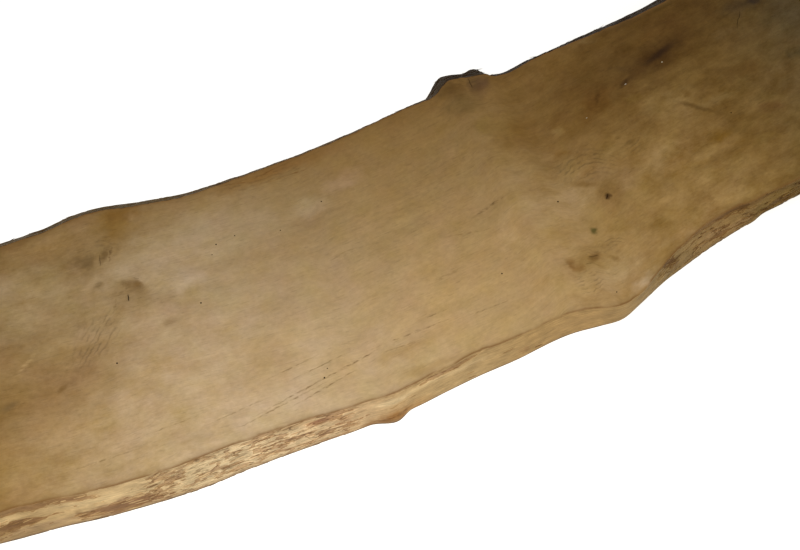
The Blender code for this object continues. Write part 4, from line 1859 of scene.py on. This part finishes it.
@dataclass
class Studio:
    """A plain pale floor, soft light, and a camera that stands as the photograph's did."""

    look_at: tuple[float, float, float] = (0.0, -80.0, 34.0)
    elevation: float = 65.0
    turned: float = 24.0
    distance: float = 1600.0
    lens: float = 55.385
    sensor: float = 36.0
    floor_size: float = 12000.0
    floor_colour: str = "#F4F3F0"
    floor_glow: float = 0.5
    floor_roughness: float = 0.9
    floor_drop: float = 0.3
    sky: float = 0.38
    key_place: tuple[float, float, float] = (-350.0, -600.0, 1600.0)
    key_aim: tuple[float, float, float] = (-250.0, -120.0, 0.0)
    key_size: float = 500.0
    key_watts: float = 17.0
    key_tone: tuple[float, float, float] = (1.0, 0.98, 0.95)

    def camera(self) -> None:
        """Makes the camera and gives it to the scene."""
        rise, turn = math.radians(self.elevation), math.radians(self.turned)
        forward = Vector((math.sin(turn) * math.cos(rise), math.cos(turn) * math.cos(rise), -math.sin(rise)))
        data = bpy.data.cameras.new("camera")
        data.lens = self.lens
        data.sensor_width = self.sensor
        data.clip_end = 50.0
        camera = bpy.data.objects.new("camera", data)
        camera.location = (Vector(self.look_at) - forward * self.distance) * MM
        camera.rotation_euler = forward.to_track_quat("-Z", "Y").to_euler()
        bpy.context.scene.collection.objects.link(camera)
        bpy.context.scene.camera = camera

    def floor(self) -> None:
        """Makes the floor just under the board."""
        work = bmesh.new()
        bmesh.ops.create_grid(work, x_segments=1, y_segments=1, size=0.5 * self.floor_size * MM)
        mesh = bpy.data.meshes.new("floor")
        work.to_mesh(mesh)
        work.free()
        material = bpy.data.materials.new("white_floor")
        material.use_nodes = True
        shader = material.node_tree.nodes["Principled BSDF"]
        shader.inputs["Base Color"].default_value = linear(self.floor_colour)
        shader.inputs["Roughness"].default_value = self.floor_roughness
        shader.inputs["Emission Color"].default_value = linear(self.floor_colour)
        shader.inputs["Emission Strength"].default_value = self.floor_glow
        mesh.materials.append(material)
        floor = bpy.data.objects.new("floor", mesh)
        floor.location.z = -self.floor_drop * MM
        bpy.context.scene.collection.objects.link(floor)

    def light(self) -> None:
        """Lights the scene: an even sky, and a soft lamp on the camera's side over the left of the board."""
        world = bpy.data.worlds.new("sky")
        world.use_nodes = True
        world.node_tree.nodes["Background"].inputs["Color"].default_value = (1.0, 1.0, 1.0, 1.0)
        world.node_tree.nodes["Background"].inputs["Strength"].default_value = self.sky
        bpy.context.scene.world = world
        lamp = bpy.data.lights.new("key", "AREA")
        lamp.shape = "DISK"
        lamp.size = self.key_size * MM
        lamp.energy = self.key_watts
        lamp.color = self.key_tone
        key = bpy.data.objects.new("key", lamp)
        key.location = Vector(self.key_place) * MM
        aim = Vector(self.key_aim) - Vector(self.key_place)
        key.rotation_euler = aim.to_track_quat("-Z", "Y").to_euler()
        bpy.context.scene.collection.objects.link(key)
        bpy.context.scene.view_settings.view_transform = "Standard"


def finishes() -> dict[Cut, bpy.types.Material]:
    """Makes the board's finishes.

    Returns:
        The finish of every cut.
    """
    near_seams = {
        -900: "#909090", -540: "#909090", -510: "#404040", -410: "#404040", -385: FULL, -150: FULL,
        -110: "#606060", -40: "#303030", 290: "#303030", 340: "#909090", 900: "#909090",
    }  # fmt: skip
    # Bare sapwood, a painted highlight on the torn lip, painted shade in the dark line under it, and bast that
    # is darkened further towards the middle of the hollows as painted shade.
    torn = {
        0.0: "#F1F1EF", 0.36: "#F1F1EF", 0.43: "#FFFFFF", 0.49: "#CDBFAE", 0.56: "#DACFC8", 0.7: "#D3C8C4",
        1.0: "#BCAFAA",
    }  # fmt: skip
    near = BarkedOak("barked_oak_near", NEAR_SAPWOOD, torn, "#84633A", "#967858", NEAR_PATCHES, near_seams)
    far_seams = {-900: "#606060", 900: "#606060"}
    # The far edge's tones, its line under the arris and its foot are dark partly from weathered bark residue
    # and partly as painted shade of an edge that faces away from the lamp.
    far = BarkedOak("barked_oak_far", FAR_SAPWOOD_AND_PAINTED_SHADE, torn, "#4A3820", "#2C2116", (), far_seams)
    return {
        Cut.UPPER: SawnOak("sawn_oak_upper", (*FACE_PATCHES, *PORE_STREAKS), KNOTS, FACE_WAVES).material(),
        Cut.UNDER: SawnOak("sawn_oak_under", (), KNOTS, ()).material(),
        Cut.NEAR_WANE: near.material(),
        Cut.FAR_WANE: far.material(),
        Cut.CROSSCUT: EndGrainOak().material(),
    }


def barked_edges() -> dict[Side, BarkedEdge]:
    """How each natural edge came out of the barking.

    Returns:
        The relief of both edges.
    """
    near_amounts = (
        (-900, -0.25), (-400, -0.45), (-380, -0.28), (-130, -0.34), (-100, -0.6), (60, -0.9), (280, -0.9),
        (320, -0.30), (900, -0.2),
    )  # fmt: skip
    near_threads = (
        (-900, -0.2), (-560, -0.1), (-540, -0.6), (-420, -0.6), (-390, 0.0), (-140, 0.0), (-110, -0.5),
        (280, -0.7), (330, -0.2), (900, -0.1),
    )  # fmt: skip
    far_amounts = ((-900, -0.1), (0, -0.2), (900, -0.05))
    far_threads = ((-900, -0.3), (900, -0.3))
    return {
        Side.NEAR: BarkedEdge(3.0, NEAR_SCRAPS, near_amounts, near_threads),
        Side.FAR: BarkedEdge(8.0, (), far_amounts, far_threads, hollow=1.4, dent_depth=0.9, gnarl=2.4),
    }


def torn_fibres() -> tuple[tuple[TornFibres, bpy.types.Material], ...]:
    """The loose fibres of both natural edges.

    Returns:
        The fibres of each edge, with their finish.
    """
    shades = {0.0: "#A08A76", 0.5: "#D6C8BA", 1.0: "#FFFCF6"}
    near = TornBast("torn_bast_near", NEAR_SAPWOOD, shades).material()
    far = TornBast("torn_bast_far", FAR_SAPWOOD_AND_PAINTED_SHADE, shades).material()
    return (
        (TornFibres("torn_fibres_near", Cut.NEAR_WANE, 5, 20000.0), near),
        (TornFibres("torn_fibres_far", Cut.FAR_WANE, 9, 12000.0), far),
    )


def main() -> None:
    """Builds and dresses the board, and stages it."""
    logging.basicConfig(level=logging.INFO, format="%(message)s")
    studio = Studio()
    studio.camera()
    skin = BoardSkin(SolidEdges(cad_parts["board"]), barked_edges())
    board = skin.build(finishes())
    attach(board, "root")
    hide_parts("board")
    LOG.info("%s: %d triangles", board.name, sum(len(p.vertices) - 2 for p in board.data.polygons))
    for fibres, finish in torn_fibres():
        piece = fibres.build(board, finish)
        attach(piece, "root")
        LOG.info("%s: %d triangles", piece.name, sum(len(p.vertices) - 2 for p in piece.data.polygons))
    studio.floor()
    studio.light()


if __name__ == "__main__":
    main()
